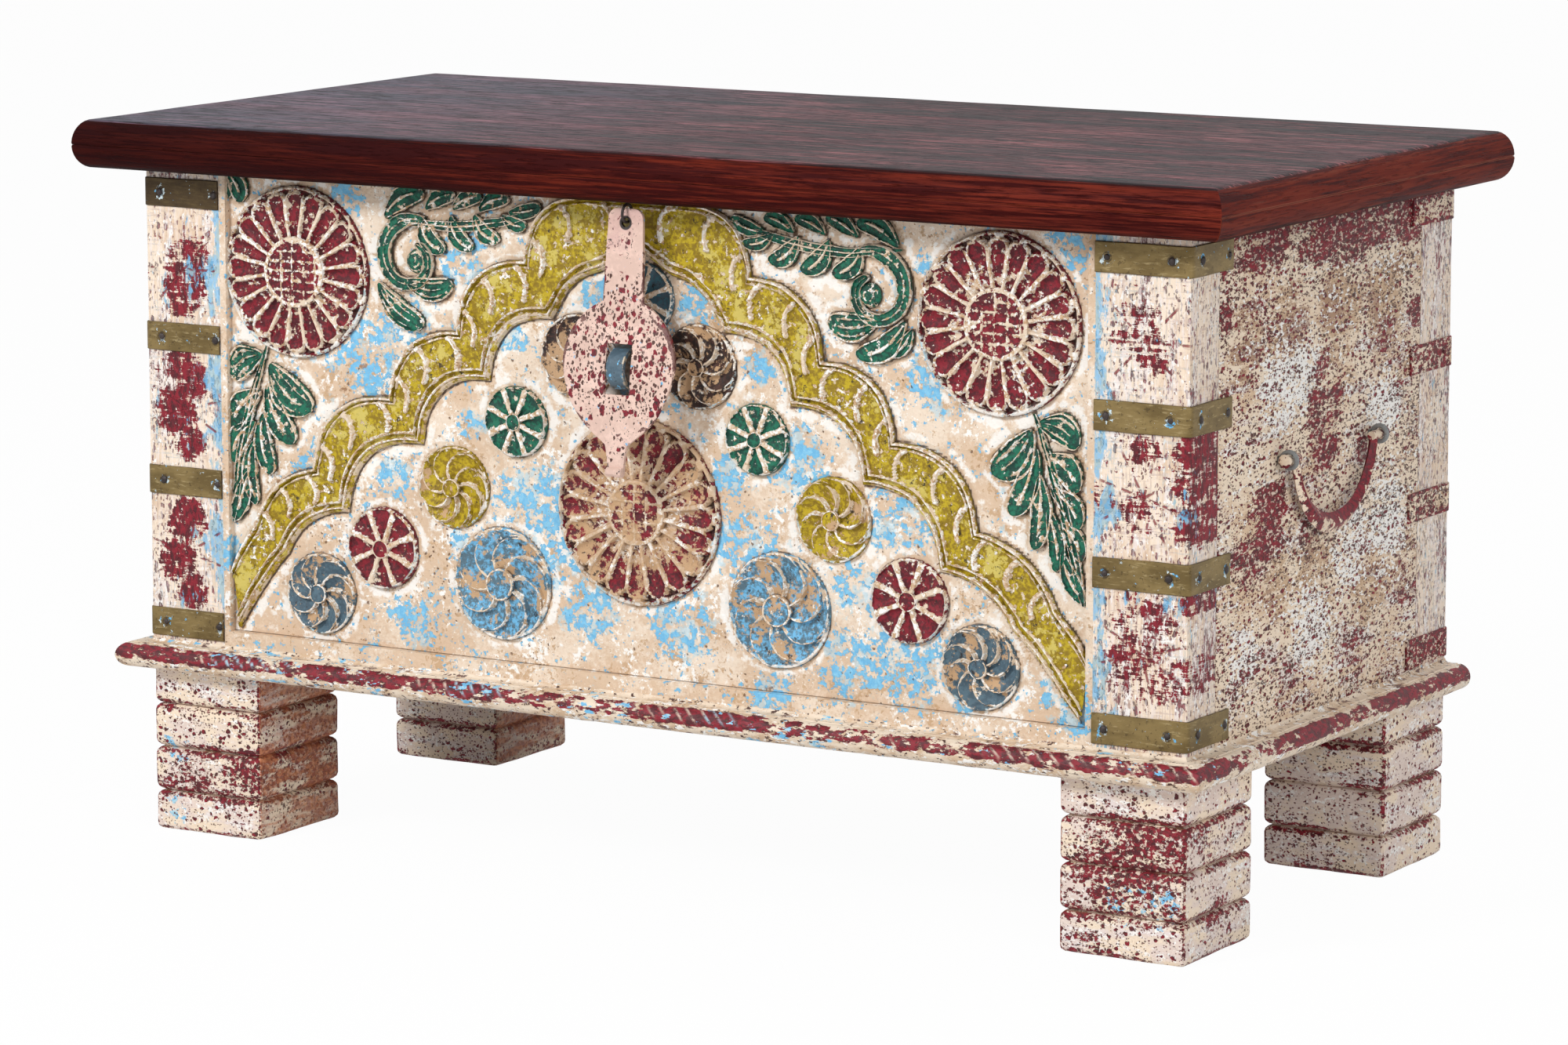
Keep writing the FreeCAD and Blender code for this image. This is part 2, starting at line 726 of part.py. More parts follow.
def hasp():
    z = hasp_hole_z

    def at(x, drop):
        return vec(x, hasp_y + hasp_thickness / 2, z - drop)
    top = -hasp_top_above_hole
    half_top = hasp_top_width / 2
    half_shank = hasp_shank_width / 2
    half_disc = hasp_disc_width / 2
    half_neck = hasp_neck_width / 2
    half_tip = hasp_tip_width / 2
    r = hasp_top_corner
    bend = r * (1 - diagonal_share)
    disc_drop = hasp_shank_length + hasp_disc_drop
    shoulder_share = 0.86
    shoulder_drop_share = 0.47
    cheek_share = 0.80
    cheek_drop_share = 0.52
    neck_drop = disc_drop + (hasp_neck_drop - hasp_disc_drop)
    tip_drop = disc_drop + (hasp_tip_drop - hasp_disc_drop)
    right = [
        arc(at(half_top - r, top), at(half_top - bend, top + bend), at(half_top, top + r)),
        line(at(half_top, top + r), at(half_shank, hasp_shank_length)),
        arc(at(half_shank, hasp_shank_length),
            at(half_disc * shoulder_share, hasp_shank_length + hasp_disc_drop * shoulder_drop_share),
            at(half_disc, disc_drop)),
        arc(at(half_disc, disc_drop),
            at(half_disc * cheek_share, disc_drop + (neck_drop - disc_drop) * cheek_drop_share),
            at(half_neck, neck_drop)),
        line(at(half_neck, neck_drop), at(half_tip, tip_drop)),
    ]
    left = [mirrored(edge) for edge in right]
    closing = [line(at(half_tip, tip_drop), at(-half_tip, tip_drop)),
               line(at(-half_top + r, top), at(half_top - r, top))]
    outline = Part.Face(Part.Wire(Part.__sortEdges__(right + left + closing)))
    outline.translate(vec(0, hasp_bow, 0))
    plate = outline.extrude(vec(0, -3 * hasp_bow, 0)).common(hasp_sheet(tip_drop))
    curl_centre = vec(-half_tip, hasp_y - hasp_curl_radius, z - tip_drop)
    roll = bar(curl_centre, vec(hasp_tip_width, 0, 0), vec(0, 0, 1), hasp_curl_radius, forged_sides)
    hole = bar(vec(0, hasp_y - hasp_thickness / 2 - overrun, z), vec(0, hasp_thickness + 2 * overrun, 0),
               vec(0, 0, 1), hasp_hole_radius, forged_sides)
    slot_z = z - hasp_slot_drop
    slot = box(-hasp_slot_width / 2, hasp_y - 2 * hasp_bow, slot_z - hasp_slot_height / 2,
               hasp_slot_width / 2, hasp_y + hasp_bow, slot_z + hasp_slot_height / 2)
    piece = plate.fuse(roll).cut(hole).cut(slot)
    piece.rotate(vec(0, hasp_y, eye_centre_z), vec(-1, 0, 0), hasp_lean)
    return piece


def wire_ring(centre, across, ring_radius, wire_radius):
    """A closed eye, bent from square wire."""
    up = vec(0, 0, 1)
    start = centre - across * wire_radius
    outside = bar(start, across * (2 * wire_radius), up, ring_radius + wire_radius, wire_ring_sides)
    inside = bar(start - across * overrun, across * (2 * (wire_radius + overrun)), up,
                 ring_radius - wire_radius, wire_ring_sides)
    return outside.cut(inside)


def square_wire(start, along, up, wire_radius):
    """Square wire that runs from start, as thick as twice its radius."""
    other = along.cross(up)
    other.normalize()
    first = up * wire_radius
    second = other * wire_radius
    corners = [start + first + second, start - first + second, start - first - second, start + first - second]
    return polygon(corners).extrude(along)


def make_hasp():
    save("hasp", hasp())
    centre = vec(0, hasp_y, eye_centre_z)
    ring = wire_ring(centre, vec(1, 0, 0), eye_ring_radius, eye_wire_radius)
    shank_start = centre + vec(0, 0, eye_ring_radius)
    shank_top = lid_bottom + eye_shank_length
    shank = square_wire(shank_start, vec(0, 0, shank_top - shank_start.z), vec(1, 0, 0), eye_wire_radius)
    save("hasp_eye", ring.fuse(shank))


# End handles: a forged bail, thick in the middle, whose ends hang in two clinched wire eyes

def handle_eye_places():
    middle = (body_front + body_back) / 2
    reach = handle_half_span + handle_eye_offset
    return (middle - reach, middle + reach)


def bail_section(angle, centre, radius, half_angle):
    """A four-sided section of the bail, square to its curve."""
    share = abs(angle) / half_angle
    width = handle_mid_width + (handle_end_width - handle_mid_width) * share
    thickness = handle_mid_thickness + (handle_end_thickness - handle_mid_thickness) * share
    outward = vec(0, math.sin(angle), -math.cos(angle))
    middle = centre + outward * radius
    across = vec(1, 0, 0)
    return [middle + outward * (width / 2), middle + across * (thickness / 2),
            middle - outward * (width / 2), middle - across * (thickness / 2)]


def bail():
    x = half_width + handle_offset
    middle_y = (body_front + body_back) / 2
    radius = (handle_half_span ** 2 + handle_drop ** 2) / (2 * handle_drop)
    half_angle = math.asin(handle_half_span / radius)
    centre = vec(x, middle_y, handle_z - handle_drop + radius)
    angles = [half_angle * (2 * k / handle_section_count - 1) for k in range(handle_section_count + 1)]
    body = skin([bail_section(a, centre, radius, half_angle) for a in angles])
    pieces = []
    for side in (-1, 1):
        start = vec(x, middle_y + side * (handle_half_span - handle_pin_radius), handle_z)
        pieces.append(bar(start, vec(0, side * handle_pin_length, 0), vec(0, 0, 1), handle_pin_radius,
                          forged_sides))
        knob_start = start + vec(0, side * handle_pin_length, 0)
        pieces.append(bar(knob_start, vec(0, side * handle_knob_length, 0), vec(0, 0, 1), handle_knob_radius,
                          forged_sides))
    return body.multiFuse(pieces)


def handle_eyes():
    x = half_width + handle_offset
    inside = half_width - side_board_thickness
    eyes = []
    for y in handle_eye_places():
        centre = vec(x, y, handle_z)
        ring = wire_ring(centre, vec(0, 1, 0), handle_eye_ring_radius, handle_eye_wire_radius)
        shank_end = inside - handle_eye_wire_radius
        shank_start = x - handle_eye_ring_radius
        shank = square_wire(vec(shank_end, y, handle_z), vec(shank_start - shank_end, 0, 0), vec(0, 0, 1),
                           handle_eye_wire_radius)
        clinch = square_wire(vec(shank_end, y, handle_z - handle_eye_clinch_length),
                            vec(0, 0, 2 * handle_eye_clinch_length), vec(1, 0, 0), handle_eye_wire_radius)
        eyes.append(ring.multiFuse([shank, clinch]))
    return eyes


def make_handles():
    save("handle_right", bail())
    save("handle_left", mirrored(bail()))
    eyes = handle_eyes()
    save("handle_eyes", Part.makeCompound(eyes + [mirrored(eye) for eye in eyes]))


# Hinges: one leaf nailed to the back, the other let in under the lid, three knuckles on a pin

def knuckle(x0, x1):
    axis = vec(1, 0, 0)
    start = vec(x0, hinge_axis_y, hinge_axis_z)
    return bar(start, axis * (x1 - x0), vec(0, 0, 1), hinge_barrel_radius, knuckle_sides)


def hinge(x):
    half = hinge_width / 2
    third = hinge_width / knuckle_count
    gap = hinge_knuckle_gap
    t = hinge_leaf_thickness
    clear = hinge_barrel_radius + gap
    bore = Part.makeCylinder(hinge_pin_radius + hinge_pin_clearance, hinge_width + 2 * overrun,
                             vec(x - half - overrun, hinge_axis_y, hinge_axis_z), vec(1, 0, 0))
    leaf_bottom = hinge_axis_z - hinge_body_leaf_height
    body_leaf = box(x - half, body_back, leaf_bottom, x + half, body_back + t, hinge_axis_z - clear)
    spans = ((x - half, x - third / 2 - gap), (x + third / 2 + gap, x + half))
    for x0, x1 in spans:
        tongue = box(x0, body_back, hinge_axis_z - clear - overrun, x1, body_back + t, hinge_axis_z)
        body_leaf = body_leaf.fuse(tongue).fuse(knuckle(x0, x1))
    leaf_front = hinge_axis_y - hinge_lid_leaf_depth
    lid_leaf = box(x - half, leaf_front, lid_bottom - t, x + half, hinge_axis_y - clear, lid_bottom)
    tongue = box(x - third / 2, hinge_axis_y - clear - overrun, lid_bottom - t, x + third / 2,
                 hinge_axis_y, lid_bottom)
    lid_leaf = lid_leaf.fuse(tongue).fuse(knuckle(x - third / 2, x + third / 2))
    pin = Part.makeCylinder(hinge_pin_radius, hinge_width + 2 * hinge_pin_overhang,
                            vec(x - half - hinge_pin_overhang, hinge_axis_y, hinge_axis_z), vec(1, 0, 0))
    return body_leaf.cut(bore).removeSplitter(), lid_leaf.cut(bore).removeSplitter(), pin


def make_hinges():
    body_heads = []
    lid_heads = []
    nail_x = hinge_width / 2 - hinge_nail_margin
    for side, x in (("left", -hinge_spacing / 2), ("right", hinge_spacing / 2)):
        body_leaf, lid_leaf, pin = hinge(x)
        save("hinge_body_leaf_" + side, body_leaf)
        save("hinge_lid_leaf_" + side, lid_leaf)
        save("hinge_pin_" + side, pin)
        low = hinge_axis_z - hinge_body_leaf_height + hinge_nail_margin
        high = hinge_axis_z - hinge_barrel_radius - hinge_nail_margin
        face_y = body_back + hinge_leaf_thickness
        front = hinge_axis_y - hinge_lid_leaf_depth + hinge_nail_margin
        for dx in (-nail_x, nail_x):
            for z in (low, high):
                body_heads.append(nail_head(vec(x + dx, face_y, z), vec(0, 1, 0), vec(1, 0, 0)))
            lid_heads.append(nail_head(vec(x + dx, front, lid_bottom - hinge_leaf_thickness),
                                       vec(0, 0, -1), vec(1, 0, 0)))
    save("hinge_body_nails", Part.makeCompound(body_heads))
    save("hinge_lid_nails", Part.makeCompound(lid_heads))


os.makedirs("parts", exist_ok=True)
make_lid()
make_carcass()
make_moulding()
make_legs()
make_straps()
make_front_panel()
make_hasp()
make_handles()
make_hinges()
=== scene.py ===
import math
import bpy
import bmesh
import numpy as np
from mathutils import Matrix, Vector, kdtree, noise


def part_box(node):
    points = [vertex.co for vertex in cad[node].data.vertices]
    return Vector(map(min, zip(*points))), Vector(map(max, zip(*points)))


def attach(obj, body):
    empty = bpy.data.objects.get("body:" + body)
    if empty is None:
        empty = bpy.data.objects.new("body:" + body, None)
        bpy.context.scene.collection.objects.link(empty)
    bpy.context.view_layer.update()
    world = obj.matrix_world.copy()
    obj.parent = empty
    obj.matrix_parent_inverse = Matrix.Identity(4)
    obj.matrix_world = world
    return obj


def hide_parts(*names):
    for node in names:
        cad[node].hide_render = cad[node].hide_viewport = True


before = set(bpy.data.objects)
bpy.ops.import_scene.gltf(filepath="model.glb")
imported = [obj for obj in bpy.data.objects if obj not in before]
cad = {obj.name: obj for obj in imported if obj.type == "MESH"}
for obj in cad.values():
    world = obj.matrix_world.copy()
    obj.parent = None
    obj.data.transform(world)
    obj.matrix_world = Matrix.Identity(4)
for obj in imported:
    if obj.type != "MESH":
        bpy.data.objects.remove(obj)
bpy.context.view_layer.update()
chest = {"x": 0.4115, "front": -0.1890, "back": 0.2076, "foot": 0.1184, "top": 0.4741}  # outer faces of the body


# camera, as fitted to the corners of the chest in the photo
cameraView = {"place": (2.0752, -3.4697, 0.9000), "heading": (-0.50787, 0.84846, -0.14891),
              "lens": 134.24, "shift": -0.0559}
lens = bpy.data.cameras.new("photoCamera")
lens.lens = cameraView["lens"]
lens.sensor_width = 36
lens.shift_y = cameraView["shift"]
lens.clip_end = 100
photoCamera = bpy.data.objects.new("photoCamera", lens)
bpy.context.scene.collection.objects.link(photoCamera)
photoCamera.location = cameraView["place"]
photoCamera.rotation_euler = Vector(cameraView["heading"]).to_track_quat("-Z", "Y").to_euler()
bpy.context.scene.camera = photoCamera
bpy.context.scene.view_settings.view_transform = "Standard"
print("camera set")


class Wire:  # one output of a node; sums written on it become Math nodes
    def __init__(self, nodes, socket):
        self.nodes = nodes
        self.socket = socket

    def out(self, name):
        return Wire(self.nodes, self.socket.node.outputs[name])

    def calc(self, operation, *values):
        return self.nodes.add("ShaderNodeMath", {"operation": operation}, dict(enumerate(values)))

    def __add__(self, other):
        return self.calc("ADD", self, other)

    def __radd__(self, other):
        return self.calc("ADD", other, self)

    def __sub__(self, other):
        return self.calc("SUBTRACT", self, other)

    def __rsub__(self, other):
        return self.calc("SUBTRACT", other, self)

    def __mul__(self, other):
        return self.calc("MULTIPLY", self, other)

    def __rmul__(self, other):
        return self.calc("MULTIPLY", other, self)

    def __truediv__(self, other):
        return self.calc("DIVIDE", self, other)

    def __rtruediv__(self, other):
        return self.calc("DIVIDE", other, self)

    def __abs__(self):
        return self.calc("ABSOLUTE", self)

    def sin(self):
        return self.calc("SINE", self)

    def cos(self):
        return self.calc("COSINE", self)

    def root(self):
        return self.calc("SQRT", self)

    def least(self, other):
        return self.calc("MINIMUM", self, other)

    def most(self, other):
        return self.calc("MAXIMUM", self, other)

    def beat(self, pitch):  # distance to the nearest line of a row that far apart
        return abs(self.calc("PINGPONG", self, pitch / 2))

    def ease(self, low, high):  # 0 below low, 1 above high
        return self.nodes.add("ShaderNodeMapRange", {"interpolation_type": "SMOOTHSTEP"},
                              {"Value": self, "From Min": low, "From Max": high, "To Min": 0.0, "To Max": 1.0})


class Nodes:  # the nodes of one material or one geometry tree
    def __init__(self, tree):
        self.tree = tree

    def add(self, kind, settings=None, values=None, output=0):
        node = self.tree.nodes.new(kind)
        for name, setting in (settings or {}).items():
            setattr(node, name, setting)
        for key, value in (values or {}).items():
            if isinstance(value, Wire):
                self.tree.links.new(value.socket, node.inputs[key])
            else:
                node.inputs[key].default_value = value
        return Wire(self, node.outputs[output] if node.outputs else node.inputs[0])

    def paintOn(self, geometry, name, value):  # stores a value under that name on the points
        return self.add("GeometryNodeStoreNamedAttribute", {"data_type": "FLOAT", "domain": "POINT"},
                        {"Geometry": geometry, "Name": name, "Value": value})


def tone(r, g, b):  # a colour as it looks on a screen, 0 to 255
    shares = [c / 255 for c in (r, g, b)]
    return tuple(c / 12.92 if c <= 0.04045 else ((c + 0.055) / 1.055) ** 2.4 for c in shares) + (1.0,)


class Paint(Nodes):  # one finish
    def __init__(self, name, slot):
        self.material = bpy.data.materials.new(name)
        self.material.use_nodes = True
        self.slot = slot
        Nodes.__init__(self, self.material.node_tree)
        self.tree.nodes.clear()
        self.shader = self.add("ShaderNodeBsdfPrincipled")
        self.add("ShaderNodeOutputMaterial", {}, {"Surface": self.shader})
        self.here = self.add("ShaderNodeTexCoord", {}, {}, "Object")
        self.x = self.add("ShaderNodeSeparateXYZ", {}, {0: self.here}, "X")
        self.y = self.x.out("Y")
        self.z = self.x.out("Z")

    def grain(self, scale, detail=6.0, rough=0.62, stretch=(1, 1, 1), shift=0.0, warp=0.0):
        at = self.add("ShaderNodeMapping", {}, {"Vector": self.here, "Location": (shift, shift, shift),
                                               "Scale": stretch})
        return self.add("ShaderNodeTexNoise", {}, {"Vector": at, "Scale": scale, "Detail": detail,
                                                   "Roughness": rough, "Distortion": warp})

    def dots(self, scale, share, size, shift=0.0, stretch=(1, 1, 1)):
        # scattered ragged spots, on that share of the cells
        wander = self.add("ShaderNodeTexNoise", {}, {"Vector": self.here, "Scale": scale * 0.9, "Detail": 2.0},
                          "Color")
        wander = self.add("ShaderNodeVectorMath", {"operation": "SCALE"}, {0: wander, "Scale": 1.1 / scale})
        at = self.add("ShaderNodeMapping", {}, {"Vector": self.here, "Location": (shift, shift, shift),
                                                "Scale": stretch})
        at = self.add("ShaderNodeVectorMath", {"operation": "ADD"}, {0: at, 1: wander})
        cell = self.add("ShaderNodeTexVoronoi", {}, {"Vector": at, "Scale": scale})
        chance = self.add("ShaderNodeSeparateColor", {}, {0: cell.out("Color")}, 0)
        reach = size * (0.45 + chance.out("Green") * 0.8)
        return (reach - cell).ease(0.0, 0.10) * (share - chance).ease(0.0, 0.03)

    def mark(self, name):  # a value painted on the mesh by the code that made it
        return self.add("ShaderNodeAttribute", {"attribute_name": name}, {}, "Fac")

    def over(self, mask, below, above):
        return self.add("ShaderNodeMix", {"data_type": "RGBA"}, {0: mask, 6: below, 7: above}, 2)

    def redCoat(self, fine, low=0.42, high=0.56):
        return self.over(fine.ease(low, high), shade["wine"], shade["crimson"])

    def near(self, places, side=False):  # 1 close to any of the places (x or y, z, reach), in mm
        total = None
        for x, z, reach in places:
            dx = (self.y if side else self.x) - x / 1000
            dz = self.z - z / 1000
            close = 1 - ((dx * dx + dz * dz) / (reach / 1000) ** 2).ease(0.15, 1.3)
            total = close if total is None else total.most(close)
        return total

    def finish(self, colour, roughness, height, depth, metallic=0.0, specular=0.4):
        node = self.shader.socket.node
        for key, value in (("Base Color", colour), ("Roughness", roughness), ("Metallic", metallic)):
            if isinstance(value, Wire):
                self.tree.links.new(value.socket, node.inputs[key])
            else:
                node.inputs[key].default_value = value
        node.inputs["Specular IOR Level"].default_value = specular
        bump = self.add("ShaderNodeBump", {}, {"Height": height, "Distance": depth, "Strength": 1.0})
        self.tree.links.new(bump.socket, node.inputs["Normal"])
        return self


# paints: every colour is a worn coat over others, so each is a stack of masks
shades = {"cream": (228, 208, 184), "pale": (250, 247, 242), "tan": (196, 160, 122), "umber": (74, 46, 38),
          "crimson": (134, 20, 38), "wine": (78, 12, 24), "sky": (112, 184, 226), "haze": (172, 212, 228),
          "slate": (84, 110, 124), "mustard": (192, 167, 24), "straw": (206, 188, 96), "olive": (138, 112, 12),
          "emerald": (14, 108, 82), "pine": (6, 58, 48), "pink": (214, 182, 168), "grey": (122, 124, 124),
          "teal": (56, 106, 122), "steel": (66, 88, 102), "brown": (78, 46, 38), "ink": (38, 28, 26)}
shade = {name: tone(*value) for name, value in shades.items()}


def creamCoat(p):
    # cream over tan, with white chips all through it
    broad = p.grain(24, 4, 0.6)
    fine = p.grain(300, 5, 0.66, shift=3.1)
    coat = p.over((fine * 0.6 + broad * 0.4).ease(0.476, 0.546), shade["cream"], shade["tan"])
    chips = p.grain(380, 4, 0.6, shift=13.0)
    return p.over((chips * 0.7 + broad * 0.3).ease(0.505, 0.55), coat, shade["pale"]), fine


def groundPaint():
    # the carved ground: beige and white, rubbed, with sky blue left in flaky patches, dirt, painted shade against the
    # carving and a painted shadow behind the hasp
    p = Paint("distressedCreamGround", "carved_panel")
    broad = p.grain(20, 5, 0.6)
    fine = p.grain(280, 5, 0.66, shift=3.1)
    coat = p.over((fine * 0.35 + broad * 0.65).ease(0.46, 0.58), tone(218, 190, 162), tone(236, 218, 198))
    coat = p.over((p.grain(330, 4, 0.6, shift=13.0) * 0.5 + p.grain(34, 4, 0.6, shift=6.0) * 0.5).ease(0.555, 0.60),
                  coat, shade["pale"])
    coat = p.over((fine * 0.55 + p.grain(40, 4, 0.6, shift=9.0) * 0.45).ease(0.545, 0.585) * 0.85, coat, shade["tan"])
    rim = p.mark("rim")
    coat = p.over((rim * 0.13 + p.grain(90, 5, 0.66, shift=11.0) * 0.7
                   + p.grain(11, 2, 0.5, shift=15.0) * 0.3).ease(0.57, 0.66) * 0.85, coat, shade["pale"])
    skyPlaces = [(-85, 262, 36), (-70, 222, 24), (76, 250, 32), (66, 292, 20), (118, 306, 28), (205, 182, 38),
                 (162, 172, 30), (166, 222, 22), (-225, 350, 38), (-196, 372, 26), (-150, 425, 26), (-245, 465, 18),
                 (-108, 372, 18), (40, 406, 18), (-40, 405, 16), (88, 366, 14), (225, 368, 26), (200, 276, 30),
                 (-280, 270, 14), (322, 462, 20), (-330, 300, 12), (190, 268, 22), (30, 192, 30), (-45, 194, 30),
                 (-190, 172, 26), (-345, 205, 14), (330, 160, 18), (246, 160, 14), (-206, 270, 18), (100, 146, 20),
                 (-268, 396, 10), (214, 446, 10), (-140, 310, 14), (305, 168, 12), (-150, 230, 12)]
    flaky = p.grain(210, 5, 0.62, shift=8.4)
    place = p.near(skyPlaces)
    sky = (flaky + place * 0.135 + p.grain(52, 3, 0.5, shift=1.0) * 0.28).ease(0.768, 0.785)
    coat = p.over((place * 0.14 + p.grain(90, 5, 0.65, shift=2.2)).ease(0.62, 0.72) * 0.6, coat, shade["haze"])
    coat = p.over(sky, coat, p.over(fine.ease(0.42, 0.60), shade["sky"], tone(136, 200, 232)))
    dotted = p.near([(-255, 226, 26), (-235, 238, 16), (-165, 205, 30), (-150, 182, 20), (-95, 165, 20),
                     (240, 215, 20), (-190, 190, 20)])
    pits = p.dots(330, 0.10 + dotted * 0.5, 0.30)
    coat = p.over(pits * 0.85, coat, tone(122, 88, 62))
    dirt = p.grain(64, 7, 0.72, (0.6, 1, 1.2), shift=5.0)
    coat = p.over((dirt * 0.55 + fine * 0.45).ease(0.60, 0.64) * 0.75, coat, tone(140, 98, 68))
    # painted shade: the ground darkened along the moat, where it meets the carving
    moat = p.mark("moat")
    coat = p.over((moat * 0.8 + fine * 0.9 - 0.45).ease(0.34, 0.70) * 0.85, coat, tone(86, 60, 46))
    # painted shadow: a dark patch on the ground behind the hasp and round the staple's slot
    coat = p.over(p.near([(-9, 359, 25), (1, 362, 19)]).ease(0.0, 0.55) * (0.62 + fine * 0.5), coat, tone(34, 24, 20))
    height = fine * 0.8 + p.grain(70, 4, 0.5, shift=2.0) * 0.9 + sky * 0.15 - pits * 0.9
    return p.finish(coat, 0.55 + fine * 0.2, height, 0.0013)


def reliefPaint(name, colour, deep, chip=0.5, other=None, otherShare=0.0, rub=0.0, rimTones=("haze", "pale"),
                cut=0.85, bareTone=None, hole=None):
    # a coloured coat rubbed off the ridges, flaked in the hollows, with painted shade in the cuts
    p = Paint(name, "carved_panel")
    cream, fine = creamCoat(p)
    ridge = p.mark("ridge")
    coat = p.over((p.grain(130, 4, 0.6, shift=1.7) * 0.5 + p.grain(420, 3, 0.6, shift=2.7) * 0.5).ease(0.44, 0.58),
                  shade[deep], shade[colour])
    if other:
        patches = p.grain(56, 5, 0.66, shift=9.0)
        coat = p.over((patches * 0.7 + fine * 0.3 + otherShare).ease(0.49, 0.53), coat, shade[other])
    flaky = p.grain(260, 5, 0.64, shift=4.2)
    streak = p.grain(90, 5, 0.66, shift=6.6)
    bare = (ridge * 0.20 + flaky * 0.60 + streak * 0.40 + rub).ease(0.600 - 0.05 * chip, 0.622 - 0.05 * chip)
    coat = p.over(bare, coat, p.over(streak.ease(0.42, 0.54) * 0.8, cream, shade[bareTone]) if bareTone else cream)
    rim = p.mark("rim")
    coat = p.over(rim * (flaky * 0.6 + streak * 0.4).ease(0.47, 0.52), coat,
                  p.over(streak.ease(0.47, 0.53), shade[rimTones[0]], shade[rimTones[1]]))
    grime = p.grain(170, 6, 0.72, shift=7.7)
    coat = p.over((grime - ridge * 0.06).ease(0.60, 0.64) * 0.9, coat, shade["ink"])
    # painted shade: darker in the cuts, where the carving steps down to the ground
    low = p.mark("low")
    coat = p.over((low + fine * 0.9 - 0.5).ease(0.30 - 0.3 * (0.85 - cut), 0.8 - 0.6 * (0.85 - cut)) * 0.85, coat,
                  tone(66, 46, 38))
    # painted shadow: a dark patch where the hasp's hole shades the carving behind it
    if hole:
        coat = p.over(p.near(hole).ease(0.0, 0.6) * (0.45 + fine * 0.6), coat, tone(44, 32, 20))
    height = bare * -0.2 + fine * 0.9 + streak * 0.7
    return p.finish(coat, 0.45 + fine * 0.25, height, 0.0010)


def speckledPaint(name, slot, stretch, places=None, side=False, crimson=0.0, sky=0.0, dirt=0.0, shift=0.0, press=0.13,
                  extra=None, light=None, dark=None, pit=250, pitShare=0.3, cool=0.0, veil=None):
    # smooth cream, pitted with small crimson and brown marks, with crimson left in rubbed patches
    p = Paint(name, slot)
    fine = p.grain(300, 5, 0.66, stretch, shift=3.1)
    broad = p.grain(24, 4, 0.6, shift=shift)
    region = p.grain(17, 4, 0.62, shift=2.6 + shift)
    long = tuple(1.0 if s == 1 else s * 0.3 for s in stretch)
    brush = p.grain(110, 5, 0.66, long, shift=1.2 + shift)
    layer = p.grain(17, 2, 0.5, long, shift=7.0 + shift)
    coat = p.over((broad * 0.5 + brush * 0.5).ease(0.45, 0.57), tone(242, 222, 198), tone(220, 190, 158))
    coat = p.over((brush * 0.5 + fine * 0.2 + region * 0.3).ease(0.51, 0.57) * 0.8, coat, tone(240, 230, 226))
    if cool:
        coat = p.over((brush * 0.4 + broad * 0.6).ease(0.44, 0.54) * cool, coat, tone(232, 220, 222))
    worn = p.near(dark, side) * 0.12 if dark else 0.0
    stain = fine * 0.30 + brush * 0.45 + layer * 0.30 + dirt * 0.6 + worn
    coat = p.over(stain.ease(0.585, 0.64) * 0.75, coat,
                  p.over(broad.ease(0.45, 0.55), tone(190, 152, 114), tone(150, 108, 78)))
    chips = p.grain(360, 4, 0.6, stretch, shift=21.0)
    bright = p.near(light, side) * 0.10 if light else 0.0
    coat = p.over((chips * 0.6 + brush * 0.4 + bright).ease(0.548, 0.570), coat, shade["pale"])
    heat = region * 0.9 + crimson
    if places:
        heat = heat + p.near(places, side) * press * (1.0 if side else 1 - p.y.ease(0, 0.1))
    if extra:
        heat = heat + extra(p)
    flaky = p.grain(320, 5, 0.66, stretch, shift=5.5)
    edge = p.mark("edge")
    red = (flaky * 0.42 + brush * 0.42 + heat * 0.50 + edge * 0.10).ease(0.716, 0.734)
    wine = p.redCoat(fine)
    blue = (p.grain(170, 5, 0.66, stretch, shift=12.0 + shift) * 0.55 + p.grain(13, 3, 0.5, shift=4.0 + shift) * 0.45
            + sky + (p.near(veil, side) * 0.12 * (1 - p.y.ease(0, 0.1)) if veil else 0.0)).ease(0.590, 0.612)
    coat = p.over(blue, coat, p.over(fine.ease(0.45, 0.55), shade["sky"], shade["haze"]))
    coat = p.over(red, coat, wine)
    coat = p.over(chips.ease(0.55, 0.565) * red * 0.9, coat, tone(228, 208, 190))
    warm = heat.ease(0.30, 0.75)
    spots = p.dots(pit, pitShare + warm * 0.6, 0.40, shift + 1.0, stretch)
    coat = p.over(spots, coat, p.over(flaky.ease(0.44, 0.48), shade["brown"], wine))
    small = p.dots(pit * 1.9, pitShare * 1.5 + warm * 0.3, 0.40, shift + 4.0, stretch)
    coat = p.over(small * 0.9, coat, p.over(broad.ease(0.46, 0.52), tone(96, 56, 44), tone(112, 30, 36)))
    pits = (p.grain(400, 4, 0.66, stretch, shift=8.8) * 0.7 + layer * 0.3 + dirt).ease(0.600, 0.625)
    coat = p.over(pits * 0.9, coat, shade["brown"])
    # painted shade: darker in the grooves of the feet
    low = p.mark("low")
    coat = p.over((low * 0.75 + brush * 0.9 - 0.45).ease(0.28, 0.6) * 0.7, coat,
                  p.over(broad.ease(0.46, 0.5), tone(120, 60, 56), tone(150, 116, 90)))
    height = fine * 0.8 - red * 0.3 - pits * 0.6 - spots * 0.9 - small * 0.5 + brush * 0.9
    return p, coat, fine, brush, height


def plainSpeckle(*given, **named):
    p, coat, fine, brush, height = speckledPaint(*given, **named)
    # painted shade: the faces of the feet that look to the middle, which lie in shade, tinted warm brown with a warm
    # bounce of light
    inner = p.mark("rim")
    coat = p.over(inner * brush.ease(0.38, 0.56) * 0.85, coat,
                  p.over(fine.ease(0.46, 0.56), tone(168, 92, 62), tone(214, 142, 98)))
    return p.finish(coat, 0.50 + fine * 0.22, height, 0.0009)


